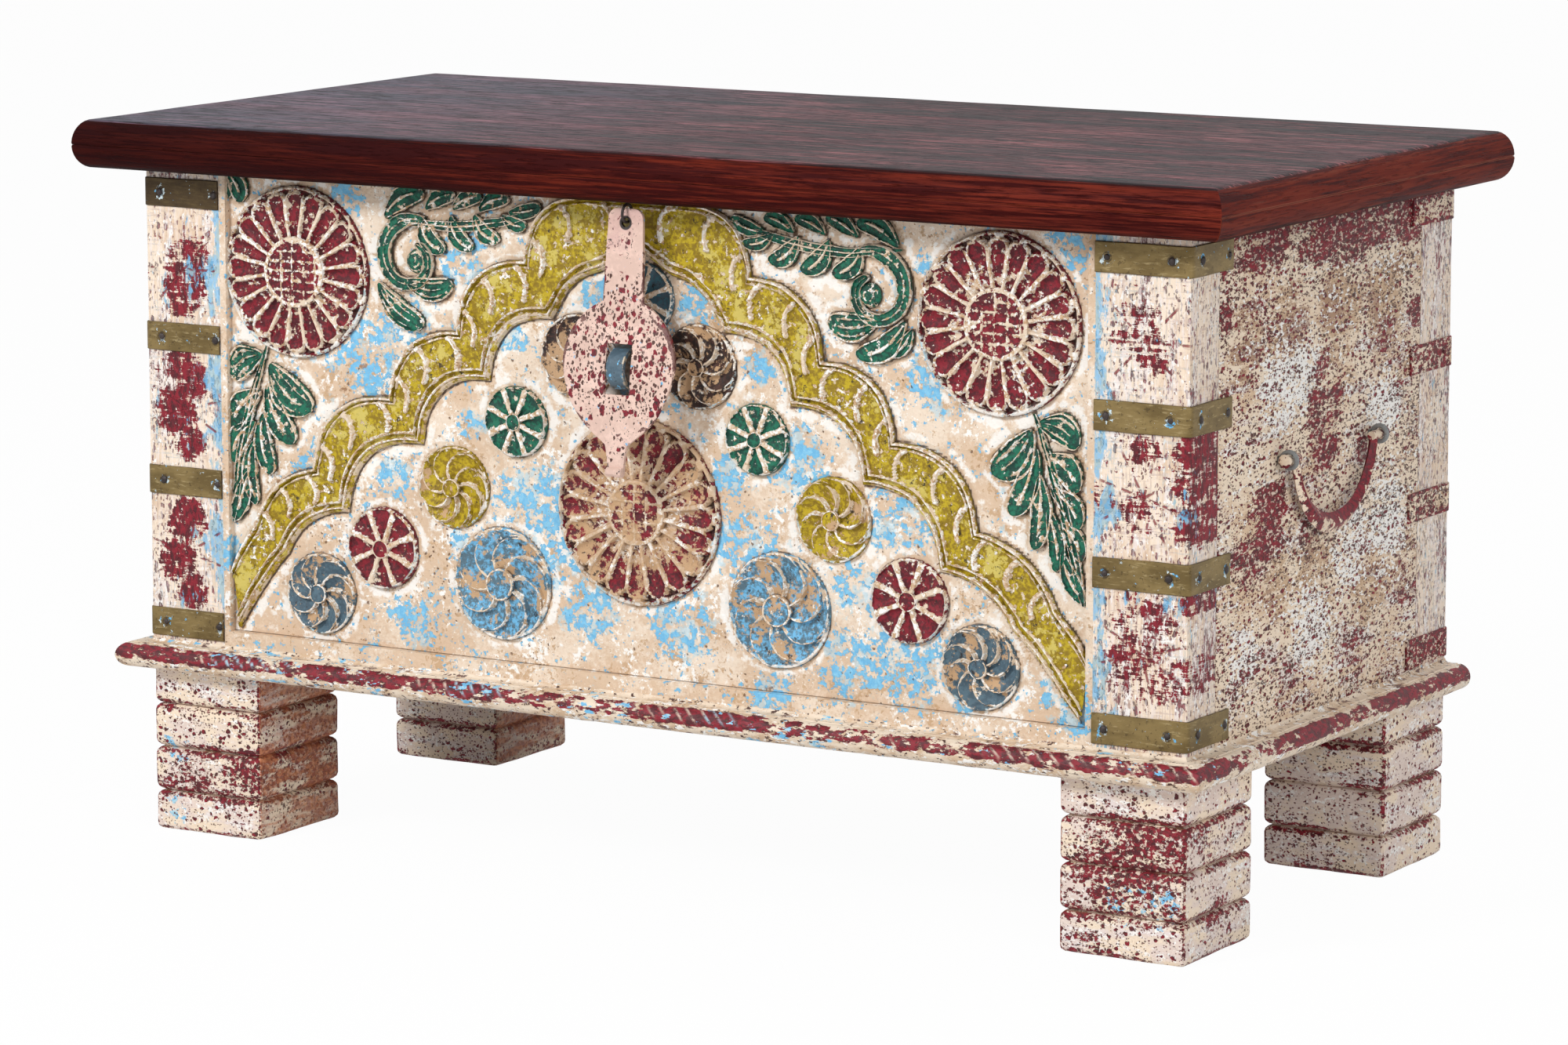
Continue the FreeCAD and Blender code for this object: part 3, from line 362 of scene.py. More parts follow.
def postPaint():
    # crimson blocks combed by the brush between the straps, blue along the inner edge, faint crossed strokes
    strong = [(-374, 408, 22), (-380, 388, 22), (-384, 336, 18), (-372, 326, 16), (-388, 302, 22), (-376, 282, 16),
              (-380, 226, 20), (-388, 198, 20), (-376, 174, 16), (413, 336, 16), (413, 312, 16), (413, 288, 18),
              (413, 238, 10)]
    faint = [(372, 412, 22), (386, 396, 16), (378, 332, 16), (374, 292, 20), (382, 224, 30), (370, 196, 26),
             (394, 184, 16), (411, 190, 16), (350, 300, 14)]
    p, coat, fine, _, height = speckledPaint("combedPostPaint", "painted_posts", (1.0, 1.0, 0.5), None, crimson=-0.02,
                                             sky=-0.05, dirt=-0.015, pit=300, pitShare=0.24)
    comb = p.grain(560, 3, 0.6, (1, 1, 0.10), shift=17.0)
    across = p.grain(560, 3, 0.6, (0.10, 0.10, 1), shift=27.0)
    coat = p.over(comb.most(across).ease(0.56, 0.62) * 0.38, coat,
                  p.over(p.grain(40, 3, 0.6, (1, 1, 0.5), shift=19.0).ease(0.46, 0.54), tone(150, 112, 112),
                         tone(150, 168, 178)))
    coat = p.over(comb.ease(0.42, 0.48) * -0.5 + 0.62, coat, tone(238, 226, 222))
    rub = (p.grain(240, 5, 0.72, (1, 1, 0.5), shift=23.0) * 0.55
           + p.grain(420, 4, 0.70, (0.12, 0.12, 1), shift=25.0) * 0.45)
    block = ((p.near(strong) * 0.170 + p.near(faint) * 0.112) * (1 - p.y.ease(-0.14, -0.10)) + rub).ease(0.606, 0.624)
    coat = p.over(block, coat, p.redCoat(fine))
    out = abs(p.x)
    strip = 1 - out.ease(0.349, 0.362)
    front = 1 - p.y.ease(-0.185, -0.16)
    veil = (strip * front * 0.17 + p.near([(-358, 400, 26), (-360, 330, 16), (-358, 296, 22), (-358, 208, 24),
                                           (361, 300, 14), (408, 300, 14), (402, 236, 12)]) * front * 0.10
            + p.grain(110, 5, 0.7, (1, 1, 0.4), shift=5.9)).ease(0.62, 0.68)
    coat = p.over(veil * 0.8, coat, p.over(fine.ease(0.45, 0.56), shade["sky"], tone(150, 186, 196)))
    stroke = None
    for z, turn in ((404, 0.0), (304, 0.5), (202, 0.25)):
        dx, dz = out - 0.379, p.z - z / 1000
        close = 1 - (dx * dx + dz * dz).ease(0.0009, 0.0012)
        for a in (turn, turn + math.pi / 4, turn + math.pi / 2, turn + 3 * math.pi / 4):
            line = (1 - abs(dx * math.sin(a) - dz * math.cos(a)).ease(0.0004, 0.0012)) * close
            stroke = line if stroke is None else stroke.most(line)
    stroke = stroke * front * p.grain(220, 4, 0.6, shift=2.1).ease(0.48, 0.53)
    coat = p.over(stroke * 0.85, coat, shade["crimson"])
    return p.finish(coat, 0.50 + fine * 0.22, height - stroke * 0.8, 0.0009)


def mouldingPaint():
    # a crimson stripe along the roll, nicked with sky blue or cream, over rubbed cream
    p = Paint("crimsonMouldingPaint", "painted_moulding")
    run = (0.35, 0.35, 1.0)
    fine = p.grain(300, 5, 0.66, (0.6, 0.6, 1), shift=3.1)
    broad = p.grain(24, 4, 0.6)
    brush = p.grain(150, 5, 0.68, run, shift=1.3)
    slow = p.grain(9, 3, 0.5, shift=6.1)
    coat = p.over((broad * 0.4 + brush * 0.6).ease(0.44, 0.58), tone(236, 219, 198), tone(208, 178, 146))
    coat = p.over((fine * 0.5 + brush * 0.5).ease(0.535, 0.58), coat, shade["pale"])
    roll = p.mark("ridge")
    flaky = p.grain(260, 5, 0.66, run, shift=5.1)
    end = p.y.ease(-0.19, -0.15)
    red = (flaky * 0.45 + fine * 0.12 + roll * (0.20 - end * 0.015) + slow * 0.35).ease(0.612, 0.632)
    coat = p.over(red, coat, p.redCoat(fine))
    under = (flaky * 0.8 + slow * 0.2).ease(0.575, 0.60)
    coat = p.over(under * 0.85, coat, shade["wine"])
    blueAt = p.near([(100, 131, 44), (150, 131, 24), (-30, 128, 40), (-300, 131, 50), (-230, 131, 40),
                     (-120, 128, 30)]) * (1 - end)
    nicks = p.mark("low")
    coat = p.over(nicks * fine.ease(0.38, 0.5), coat, p.over(blueAt.ease(0.2, 0.5), tone(226, 204, 186),
                                                             shade["haze"]))
    blue = (p.grain(230, 4, 0.6, run, shift=3.3) + blueAt * 0.07 - 0.10 - end * 0.1).ease(0.555, 0.575)
    coat = p.over(blue, coat, p.over(fine.ease(0.48, 0.56), shade["sky"], shade["haze"]))
    pits = p.grain(360, 4, 0.66, (0.6, 0.8, 1), shift=8.8).ease(0.60, 0.63)
    coat = p.over(pits, coat, shade["brown"])
    return p.finish(coat, 0.42 + fine * 0.2, fine * 0.8 + brush * 0.8 - red * 0.2 - pits * 0.5, 0.0008)


def brassFinish():
    # thin aged brass, brown-olive, lightly scratched, blue and white paint left round the nails
    p = Paint("agedBrass", "brass_straps")
    broad = p.grain(30, 4, 0.6, (1, 1, 2.2))
    fine = p.grain(300, 5, 0.7, (0.3, 0.3, 1.6), shift=4.0)
    coat = p.over(broad.ease(0.36, 0.66), tone(104, 86, 50), tone(134, 114, 72))
    coat = p.over(fine.ease(0.55, 0.66) * 0.6, coat, tone(172, 154, 112))
    coat = p.over(p.grain(380, 4, 0.6, shift=2.0).ease(0.60, 0.66) * 0.55, coat, tone(58, 44, 26))
    # painted shadow: the straps at the top left darkened where the lid shades them, with some darkening from age too
    coat = p.over(p.near([(-392, 462, 44), (-352, 455, 30)]) * (fine + 0.4) * 0.85, coat, tone(48, 32, 20))
    edge = p.mark("edge")
    coat = p.over((edge * 0.5 + fine * 0.5).ease(0.68, 0.78) * 0.8, coat, tone(60, 46, 30))
    chip = p.mark("chip")
    flaky = p.grain(240, 5, 0.66, shift=7.0)
    chips = (flaky + chip * 0.13).ease(0.66, 0.68)
    coat = p.over(chips, coat, p.over(p.grain(120, 3, 0.5, shift=5.0).ease(0.48, 0.56), tone(206, 222, 226),
                                      shade["sky"]))
    coat = p.over((chip.ease(0.86, 0.97) * (1 - chip.ease(0.97, 1.0))) * 0.7, coat, shade["ink"])
    return p.finish(coat, 0.42 + fine * 0.2 + chips * 0.2, fine * 0.4 + broad * 0.8 + chips * 0.3, 0.0004,
                    0.55 * (1 - chips))


# places on the hasp's face, in metres: its disc, the neck above it and its round hole
haspFace = {"disc": 0.3628, "rimFrom": 0.0414, "rimTo": 0.0434, "neckFrom": 0.0138, "neckTo": 0.0152,
            "hole": 0.4606, "holeFrom": 0.0044, "holeTo": 0.0052}


def ironPaint(name, slot, base, spotShare, sky=0.0, bare=0.0, red=0.0, bareTone=(96, 104, 108)):
    # paint on forged iron, spotted, worn to grey metal at the edges
    p = Paint(name, slot)
    fine = p.grain(320, 5, 0.7)
    broad = p.grain(46, 4, 0.6, shift=2.2)
    coat = p.over((broad * 0.6 + fine * 0.4).ease(0.42, 0.60), shade[base],
                  tone(*[min(255, c + 22) for c in shades[base]]))
    coat = p.over((fine * 0.6 + broad * 0.4).ease(0.57, 0.62) * 0.8, coat, tone(*[c * 0.55 for c in shades[base]]))
    coat = p.over((p.grain(150, 5, 0.6, shift=8.0) + sky).ease(0.64, 0.66), coat, shade["sky"])
    if spotShare > 0:
        f = haspFace
        share = (spotShare + broad.ease(0.40, 0.62) * 0.3 + p.near([(6, 372, 46)]) * 0.62
                 - p.z.ease(0.41, 0.44) * 0.35
                 - (1 - p.z.ease(0.325, 0.345)) * 0.3)
        coat = p.over(p.dots(440, share * 1.5, 0.46, 9.0, (1, 1, 0.7)), coat, shade["brown"])
        neckEdge = abs(p.x).ease(f["neckFrom"], f["neckTo"]) * p.z.ease(0.402, 0.408)
        fromDisc = (p.x * p.x + (p.z - f["disc"]) * (p.z - f["disc"])).root()
        discEdge = fromDisc.ease(f["rimFrom"], f["rimTo"]) * (1 - p.z.ease(0.396, 0.404)) * p.z.ease(0.318, 0.326)
        outer = neckEdge.most(discEdge)
        coat = p.over((outer * 0.22 + p.grain(160, 5, 0.66, shift=14.0)).ease(0.66, 0.70) * 0.9, coat,
                      p.over(fine.ease(0.44, 0.52), shade["wine"], tone(104, 66, 60)))
        coat = p.over((p.z.ease(0.425, 0.47) * 0.2 + broad * 0.8).ease(0.46, 0.62) * 0.35, coat, tone(172, 116, 120))
        # painted shade: the round hole of the hasp painted dark inside
        hole = (p.x * p.x + (p.z - f["hole"]) * (p.z - f["hole"])).root()
        coat = p.over(1 - hole.ease(f["holeFrom"], f["holeTo"]), coat, shade["ink"])
        spots = p.dots(230, share, 0.50, 4.0, (1, 1, 0.7))
        coat = p.over(spots, coat, p.redCoat(fine, 0.4, 0.6))
    if red > 0:
        upper = p.mark("ridge")
        mask = (upper * 0.20 + p.grain(150, 5, 0.66, shift=3.0)).ease(0.62 - red, 0.65 - red)
        coat = p.over(mask, coat, p.redCoat(fine, 0.4, 0.6))
    edge = p.mark("edge")
    wear = (fine * 0.7 + edge * 0.26 + bare).ease(0.60, 0.68)
    coat = p.over(wear, coat, tone(*bareTone))
    coat = p.over(p.grain(260, 4, 0.66, shift=9.0).ease(0.62, 0.66) * 0.9, coat, shade["ink"])
    return p.finish(coat, 0.42 + fine * 0.2, fine * 0.6 + broad * 1.4, 0.0005, wear * 0.6)


def woodFinish(name, slot, dark, mid, light, along="x", gloss=0.36, streak=1.0, specular=0.12, worn=0.0, dim=0.0,
               paintedSheen=0.0):
    # stained wood with long grain along one axis, open pores and slow bands of lighter heartwood, which on the lid's
    # top also stand in for its sheen
    p = Paint(name, slot)
    run = (0.05, 1, 1) if along == "x" else (1, 0.05, 1)
    figure = p.grain(30, 4, 0.6, run, warp=0.5)
    lines = p.grain(340, 5, 0.66, tuple(0.7 * s if s < 1 else s for s in run), shift=3.0)
    pores = p.grain(620, 3, 0.6, tuple(1.6 * s if s < 1 else s for s in run), shift=7.0)
    blotch = p.grain(9, 4, 0.6, shift=5.0)
    coat = p.over((figure * 0.35 + lines * 0.65).ease(0.45, 0.56), dark, mid)
    coat = p.over((figure * 0.14 + lines * 0.68 + blotch * 0.18).ease(0.52, 0.61) * streak, coat, light)
    # painted reflection: a blue-grey sheen painted on the left of the lid's top
    if paintedSheen:
        coat = p.over((1 - p.x.ease(-0.44, 0.05)) * paintedSheen * (lines.ease(0.36, 0.60) * 1.2 + 0.2), coat,
                      tone(126, 128, 152))
    coat = p.over(pores.ease(0.525, 0.58) * 0.9, coat, tone(16, 7, 10))
    if worn:
        coat = p.over((p.grain(300, 5, 0.7, run, shift=9.0) * 0.7 + blotch * 0.3 + worn).ease(0.60, 0.66) * 0.7, coat,
                      tone(150, 110, 92))
    nose = p.mark("edge")
    coat = p.over(nose.ease(0.05, 0.3) * 0.8, coat, p.over((figure * 0.35 + lines * 0.65).ease(0.44, 0.58),
                                                           tone(60, 15, 13), tone(106, 37, 24)))
    seam = p.mark("low")
    coat = p.over((seam + lines - 0.5).ease(0.35, 0.7) * (0.35 + 0.65 * p.x.ease(0.1, 0.35)) * 0.8, coat, light)
    # painted shade and reflection: the long edge darkened towards the left end and lit with red streaks towards the
    # right
    if dim:
        coat = p.over((1 - p.x.ease(-0.46, 0.12)) * dim, coat, tone(34, 9, 9))
        coat = p.over(p.x.ease(0.05, 0.40) * lines.ease(0.42, 0.56) * 0.45, coat, tone(122, 48, 36))
    p.shader.socket.node.inputs["Specular Tint"].default_value = (0.74, 0.82, 1.0, 1.0)
    return p.finish(coat, gloss + lines * 0.3, lines * 0.7 - pores.ease(0.54, 0.66) * 0.9, 0.0005, 0.0, specular)


# places of colour on the end boards and the feet: y or x, z and reach in mm
endPlaces = {"crimson": [(12, 345, 34), (8, 322, 30), (14, 366, 22), (-84, 276, 30), (-108, 252, 24), (-66, 284, 20),
                         (140, 452, 24), (150, 392, 14), (-140, 415, 14), (-140, 360, 12)],
             "light": [(-60, 362, 34), (-20, 366, 30), (50, 244, 36), (110, 250, 36), (-10, 196, 34), (-110, 190, 24),
                       (100, 330, 30)],
             "dark": [(-110, 395, 36), (-50, 398, 40), (30, 400, 40), (100, 395, 36), (0, 224, 40), (80, 215, 40),
                      (140, 215, 30), (-60, 228, 26)]}
footPlaces = {"crimson": [(360, 74, 30), (385, 70, 30), (340, 70, 26), (355, 42, 16), (-372, 66, 20), (-380, 42, 20),
                          (-330, 40, 24)],
              "veil": [(392, 44, 22), (366, 40, 20), (-392, 62, 16), (-360, 58, 12), (-395, 14, 16), (-300, 58, 14)]}


def endHeat(p):  # more crimson along the top of the end boards
    return p.z.ease(0.428, 0.450) * 0.24


def footHeat(p):  # and on the middle bands of the front feet
    return ((p.z.ease(0.028, 0.036) * (1 - p.z.ease(0.086, 0.092)) * 0.09 - 0.03) * (1 - p.y.ease(0, 0.1))
            - p.y.ease(0, 0.1) * 0.01)


paint = {
    "ground": groundPaint(),
    "crimson": reliefPaint("crimsonPetalPaint", "crimson", "wine", 0.75),
    "crimsonWorn": reliefPaint("wornPetalPaint", "crimson", "wine", 0.75, "tan", -0.016, bareTone="tan"),
    "emerald": reliefPaint("emeraldLeafPaint", "emerald", "pine", 0.60, rub=0.004),
    # the arch's paint carries the painted shadow behind the hasp's hole
    "mustard": reliefPaint("mustardArchPaint", "mustard", "olive", 0.80, "straw", -0.045, rimTones=("tan", "cream"),
                           hole=[(-11, 458, 9)]),
    "mustardDeep": reliefPaint("mustardFlowerPaint", "mustard", "olive", 0.2, "tan", -0.04),
    "slate": reliefPaint("slateFlowerPaint", "slate", "steel", 0.3, "tan", -0.028),
    "teal": reliefPaint("tealWheelPaint", "teal", "steel", 0.3),
    "sky": reliefPaint("skyFlowerPaint", "sky", "slate", 0.35, "tan", -0.03),
    "brown": reliefPaint("brownFlowerPaint", "umber", "ink", 0.2, "tan", -0.020, cut=0.6),
    "posts": postPaint(),
    "sides": plainSpeckle("speckledSidePaint", "painted_sides", (1.0, 0.5, 1.0),
                          endPlaces["crimson"], side=True, crimson=-0.01, sky=-0.2, dirt=0.022, shift=3.0, press=0.24,
                          extra=endHeat, pit=330, pitShare=0.46, light=endPlaces["light"], dark=endPlaces["dark"]),
    "feet": plainSpeckle("speckledFootPaint", "painted_feet", (0.8, 0.8, 1.0), footPlaces["crimson"],
                         crimson=-0.01, sky=-0.045, dirt=-0.01, shift=6.0, extra=footHeat, pit=290, pitShare=0.36,
                         cool=0.55, veil=footPlaces["veil"]),
    "paintedBrass": plainSpeckle("speckledStrapPaint", "painted_straps", (1.0, 0.6, 1.0), None, crimson=0.20,
                                 sky=-0.05, dirt=0.03, shift=9.0),
    "moulding": mouldingPaint(),
    "brass": brassFinish(),
    "hasp": ironPaint("pinkHaspPaint", "painted_hasp", "pink", 0.30, -0.01, -0.08),
    "handle": ironPaint("handlePaint", "painted_handles", "cream", 0.0, -0.05, 0.0, 0.10),
    # the pale tan at the staple's edges is worn metal and also a painted highlight
    "staple": ironPaint("wornStaple", "bare_iron", "steel", 0.0, 0.03, 0.055, bareTone=(190, 176, 156)),
    "nails": ironPaint("darkNails", "bare_iron", "ink", 0.0, -0.06, 0.02, bareTone=(132, 130, 120)),
    "eyes": ironPaint("rubbedIron", "bare_iron", "grey", 0.0, -0.2, 0.04, bareTone=(206, 200, 190)),
    "lid": woodFinish("mahoganyLidTop", "lid_board_wood", tone(12, 4, 8), tone(82, 36, 44), tone(156, 96, 98), "x",
                      0.34, 1.0, 0.075, paintedSheen=0.30),
    "lidEdgeX": woodFinish("mahoganyEdgeLong", "lid_edge_wood", tone(42, 11, 10), tone(72, 22, 16), tone(108, 42, 28),
                           specular=0.03, dim=0.85),
    "lidEdgeY": woodFinish("mahoganyEdgeEnd", "lid_edge_wood", tone(58, 18, 16), tone(92, 34, 28), tone(134, 74, 58),
                           "y", 0.4, 1.0, 0.05, 0.02),
    "plain": woodFinish("plainBoards", "plain_boards", tone(92, 60, 38), tone(132, 92, 60), tone(164, 122, 84), "x",
                        0.6, 0.6),
    "hinge": ironPaint("plainHingeIron", "hinge_iron", "ink", 0.0, -0.3, 0.1),
}
print("paints mixed:", len(paint))


# mesh helpers
def keep(name, mesh, finish, body="chest", stands=(), angle=35):
    # gives a mesh its object, finish, body and the CAD nodes that it stands for
    piece = bpy.data.objects.new(name, mesh)
    bpy.context.scene.collection.objects.link(piece)
    if not mesh.materials:
        mesh.materials.append(finish.material)
    mesh.polygons.foreach_set("use_smooth", [True] * len(mesh.polygons))
    mesh.set_sharp_from_angle(angle=math.radians(angle))
    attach(piece, body)
    if stands:
        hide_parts(*stands)
    return piece


def closeUp(mesh):
    # welds doubles, fills open rims and turns the faces outwards
    shape = bmesh.new()
    shape.from_mesh(mesh)
    bmesh.ops.remove_doubles(shape, verts=shape.verts, dist=0.00001)
    rims = [e for e in shape.edges if e.is_boundary]
    if rims:
        bmesh.ops.holes_fill(shape, edges=rims, sides=0)
    bmesh.ops.recalc_face_normals(shape, faces=shape.faces)
    shape.to_mesh(mesh)
    shape.free()
    return mesh


def sheet(name, grid, marks=None, closeRows=False, closeColumns=False):
    # a mesh from a table of points, rows by columns; marks are values painted on the points
    grid = np.asarray(grid, float)
    rows, columns = grid.shape[:2]
    index = np.arange(rows * columns).reshape(rows, columns)
    if closeRows:
        index = np.vstack([index, index[:1]])
    if closeColumns:
        index = np.hstack([index, index[:, :1]])
    faces = np.stack([index[:-1, :-1], index[:-1, 1:], index[1:, 1:], index[1:, :-1]], -1).reshape(-1, 4)
    mesh = bpy.data.meshes.new(name)
    mesh.from_pydata(grid.reshape(-1, 3).tolist(), [], faces.tolist())
    for key, values in (marks or {}).items():
        layer = mesh.attributes.new(key, "FLOAT", "POINT")
        layer.data.foreach_set("value", np.asarray(values, np.float32).reshape(-1))
    return mesh


def ease(value, low, high):
    share = np.clip((np.asarray(value, float) - low) / (high - low), 0, 1)
    return share * share * (3 - 2 * share)


def rough(points, scale, seed=0.0):
    # smooth noise, -1 to 1, at each point
    return np.array([noise.noise(Vector(q) * scale + Vector((seed, seed, seed)))
                     for q in np.asarray(points).reshape(-1, 3)])


def pointsOf(mesh):
    at = np.zeros(len(mesh.vertices) * 3)
    mesh.vertices.foreach_get("co", at)
    return at.reshape(-1, 3)


def placePoints(mesh, at):
    mesh.vertices.foreach_set("co", at.reshape(-1))
    mesh.update()
    return mesh


def worn(mesh, amount, scale, seed=0.0):
    # small dents and swells along the normals
    at = pointsOf(mesh)
    normals = np.array([v.normal for v in mesh.vertices])
    return placePoints(mesh, at + normals * (rough(at, scale, seed) * amount)[:, None])


def within(mesh, node):
    # draws a roughened mesh in by the hair that it stands out of its solid's box
    at = pointsOf(mesh)
    low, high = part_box(node)
    least, most = at.min(axis=0), at.max(axis=0)
    newLeast, newMost = np.maximum(least, np.array(low)), np.minimum(most, np.array(high))
    return placePoints(mesh, newLeast + (at - least) * (newMost - newLeast) / (most - least))


def nudged(mesh, amount, scale, seed=0.0):
    # sideways wander in the plane of the front, as a hand-led chisel leaves it
    at = pointsOf(mesh)
    flat = at * (1, 0, 1)
    at[:, 0] += rough(flat, scale, seed + 1) * amount
    at[:, 2] += rough(flat, scale, seed + 20) * amount
    return placePoints(mesh, at)


def softened(node, width, cut=0.0):
    # a copy of a CAD node with its edges rounded, and optionally cut fine enough to take wear
    mesh = cad[node].data.copy()
    mesh.materials.clear()
    kept = ("position", ".edge_verts", ".corner_vert", ".corner_edge")
    for layer in [a.name for a in mesh.attributes if a.name not in kept]:
        if not mesh.attributes[layer].is_required:
            mesh.attributes.remove(mesh.attributes[layer])
    shape = bmesh.new()
    shape.from_mesh(mesh)
    bmesh.ops.remove_doubles(shape, verts=shape.verts, dist=0.00002)
    bmesh.ops.dissolve_limit(shape, angle_limit=math.radians(1.0), verts=shape.verts, edges=shape.edges)
    sharp = [e for e in shape.edges if len(e.link_faces) == 2 and e.calc_face_angle(0) > math.radians(28)]
    bmesh.ops.bevel(shape, geom=sharp, offset=width, segments=2, profile=0.5, affect="EDGES", clamp_overlap=True)
    if cut:
        for _ in range(6):
            long = [e for e in shape.edges if e.calc_length() > cut]
            if not long:
                break
            bmesh.ops.subdivide_edges(shape, edges=long, cuts=1, use_grid_fill=True)
        bmesh.ops.triangulate(shape, faces=[f for f in shape.faces if len(f.verts) > 4])
    bmesh.ops.recalc_face_normals(shape, faces=shape.faces)
    shape.to_mesh(mesh)
    shape.free()
    return mesh


def markEdges(mesh, reach):
    # paints "edge" 1 on points at a sharp turn and 0 on flats
    shape = bmesh.new()
    shape.from_mesh(mesh)
    values = []
    for v in shape.verts:
        turn = max([e.calc_face_angle(0) for e in v.link_edges if len(e.link_faces) == 2] + [0])
        values.append(min(1.0, turn / reach))
    shape.free()
    layer = mesh.attributes.get("edge") or mesh.attributes.new("edge", "FLOAT", "POINT")
    layer.data.foreach_set("value", values)
    return mesh


def tube(path, radii, sides=8, up=(1, 0, 0), closed=False):
    # a round bar along a path; up is any direction that the path doesn't take
    path = [Vector(q) for q in path]
    up = Vector(up)
    rows = []
    last = len(path) - 1
    for k, q in enumerate(path):
        ahead = path[(k + 1) % len(path)] if closed or k < last else q
        behind = path[k - 1] if closed or k > 0 else q
        along = (ahead - behind).normalized()
        first = (up - along * up.dot(along)).normalized()
        second = along.cross(first)
        r = radii[k] if hasattr(radii, "__len__") else radii
        turns = [2 * math.pi * j / sides for j in range(sides)]
        rows.append([tuple(q + first * (r * math.cos(a)) + second * (r * math.sin(a))) for a in turns])
    return closeUp(sheet("tube", rows, None, closed, True))


def join(name, meshes):
    shape = bmesh.new()
    for mesh in meshes:
        shape.from_mesh(mesh)
    total = bpy.data.meshes.new(name)
    shape.to_mesh(total)
    shape.free()
    return total


def newTree(name, sockets):
    # a geometry-node tree with these named inputs
    tree = bpy.data.node_groups.new(name, "GeometryNodeTree")
    for key, kind in sockets:
        tree.interface.new_socket(key, in_out="INPUT", socket_type="NodeSocket" + kind)
    tree.interface.new_socket("Geometry", in_out="OUTPUT", socket_type="NodeSocketGeometry")
    return tree


def madeBy(tree, name, mesh, values):
    # the plain mesh that a tree makes of a mesh and its values
    holder = bpy.data.objects.new(name, mesh)
    bpy.context.scene.collection.objects.link(holder)
    modifier = holder.modifiers.new(name, "NODES")
    modifier.node_group = tree
    inputs = {item.name: item.identifier for item in tree.interface.items_tree if item.in_out == "INPUT"}
    for key, value in values.items():
        modifier[inputs[key]] = value
    bpy.context.view_layer.update()
    result = bpy.data.meshes.new_from_object(holder.evaluated_get(bpy.context.evaluated_depsgraph_get()))
    holder.modifiers.remove(modifier)
    bpy.data.objects.remove(holder)
    return result


# round carvings: rosettes, bladed flowers and spoked wheels, one tree for all
roundInputs = ("Radius", "Boss", "Sweep", "Ridge", "Scoop", "Tilt", "Roundness", "Height", "Depth", "Rise", "Lattice",
               "Rim", "Rub")


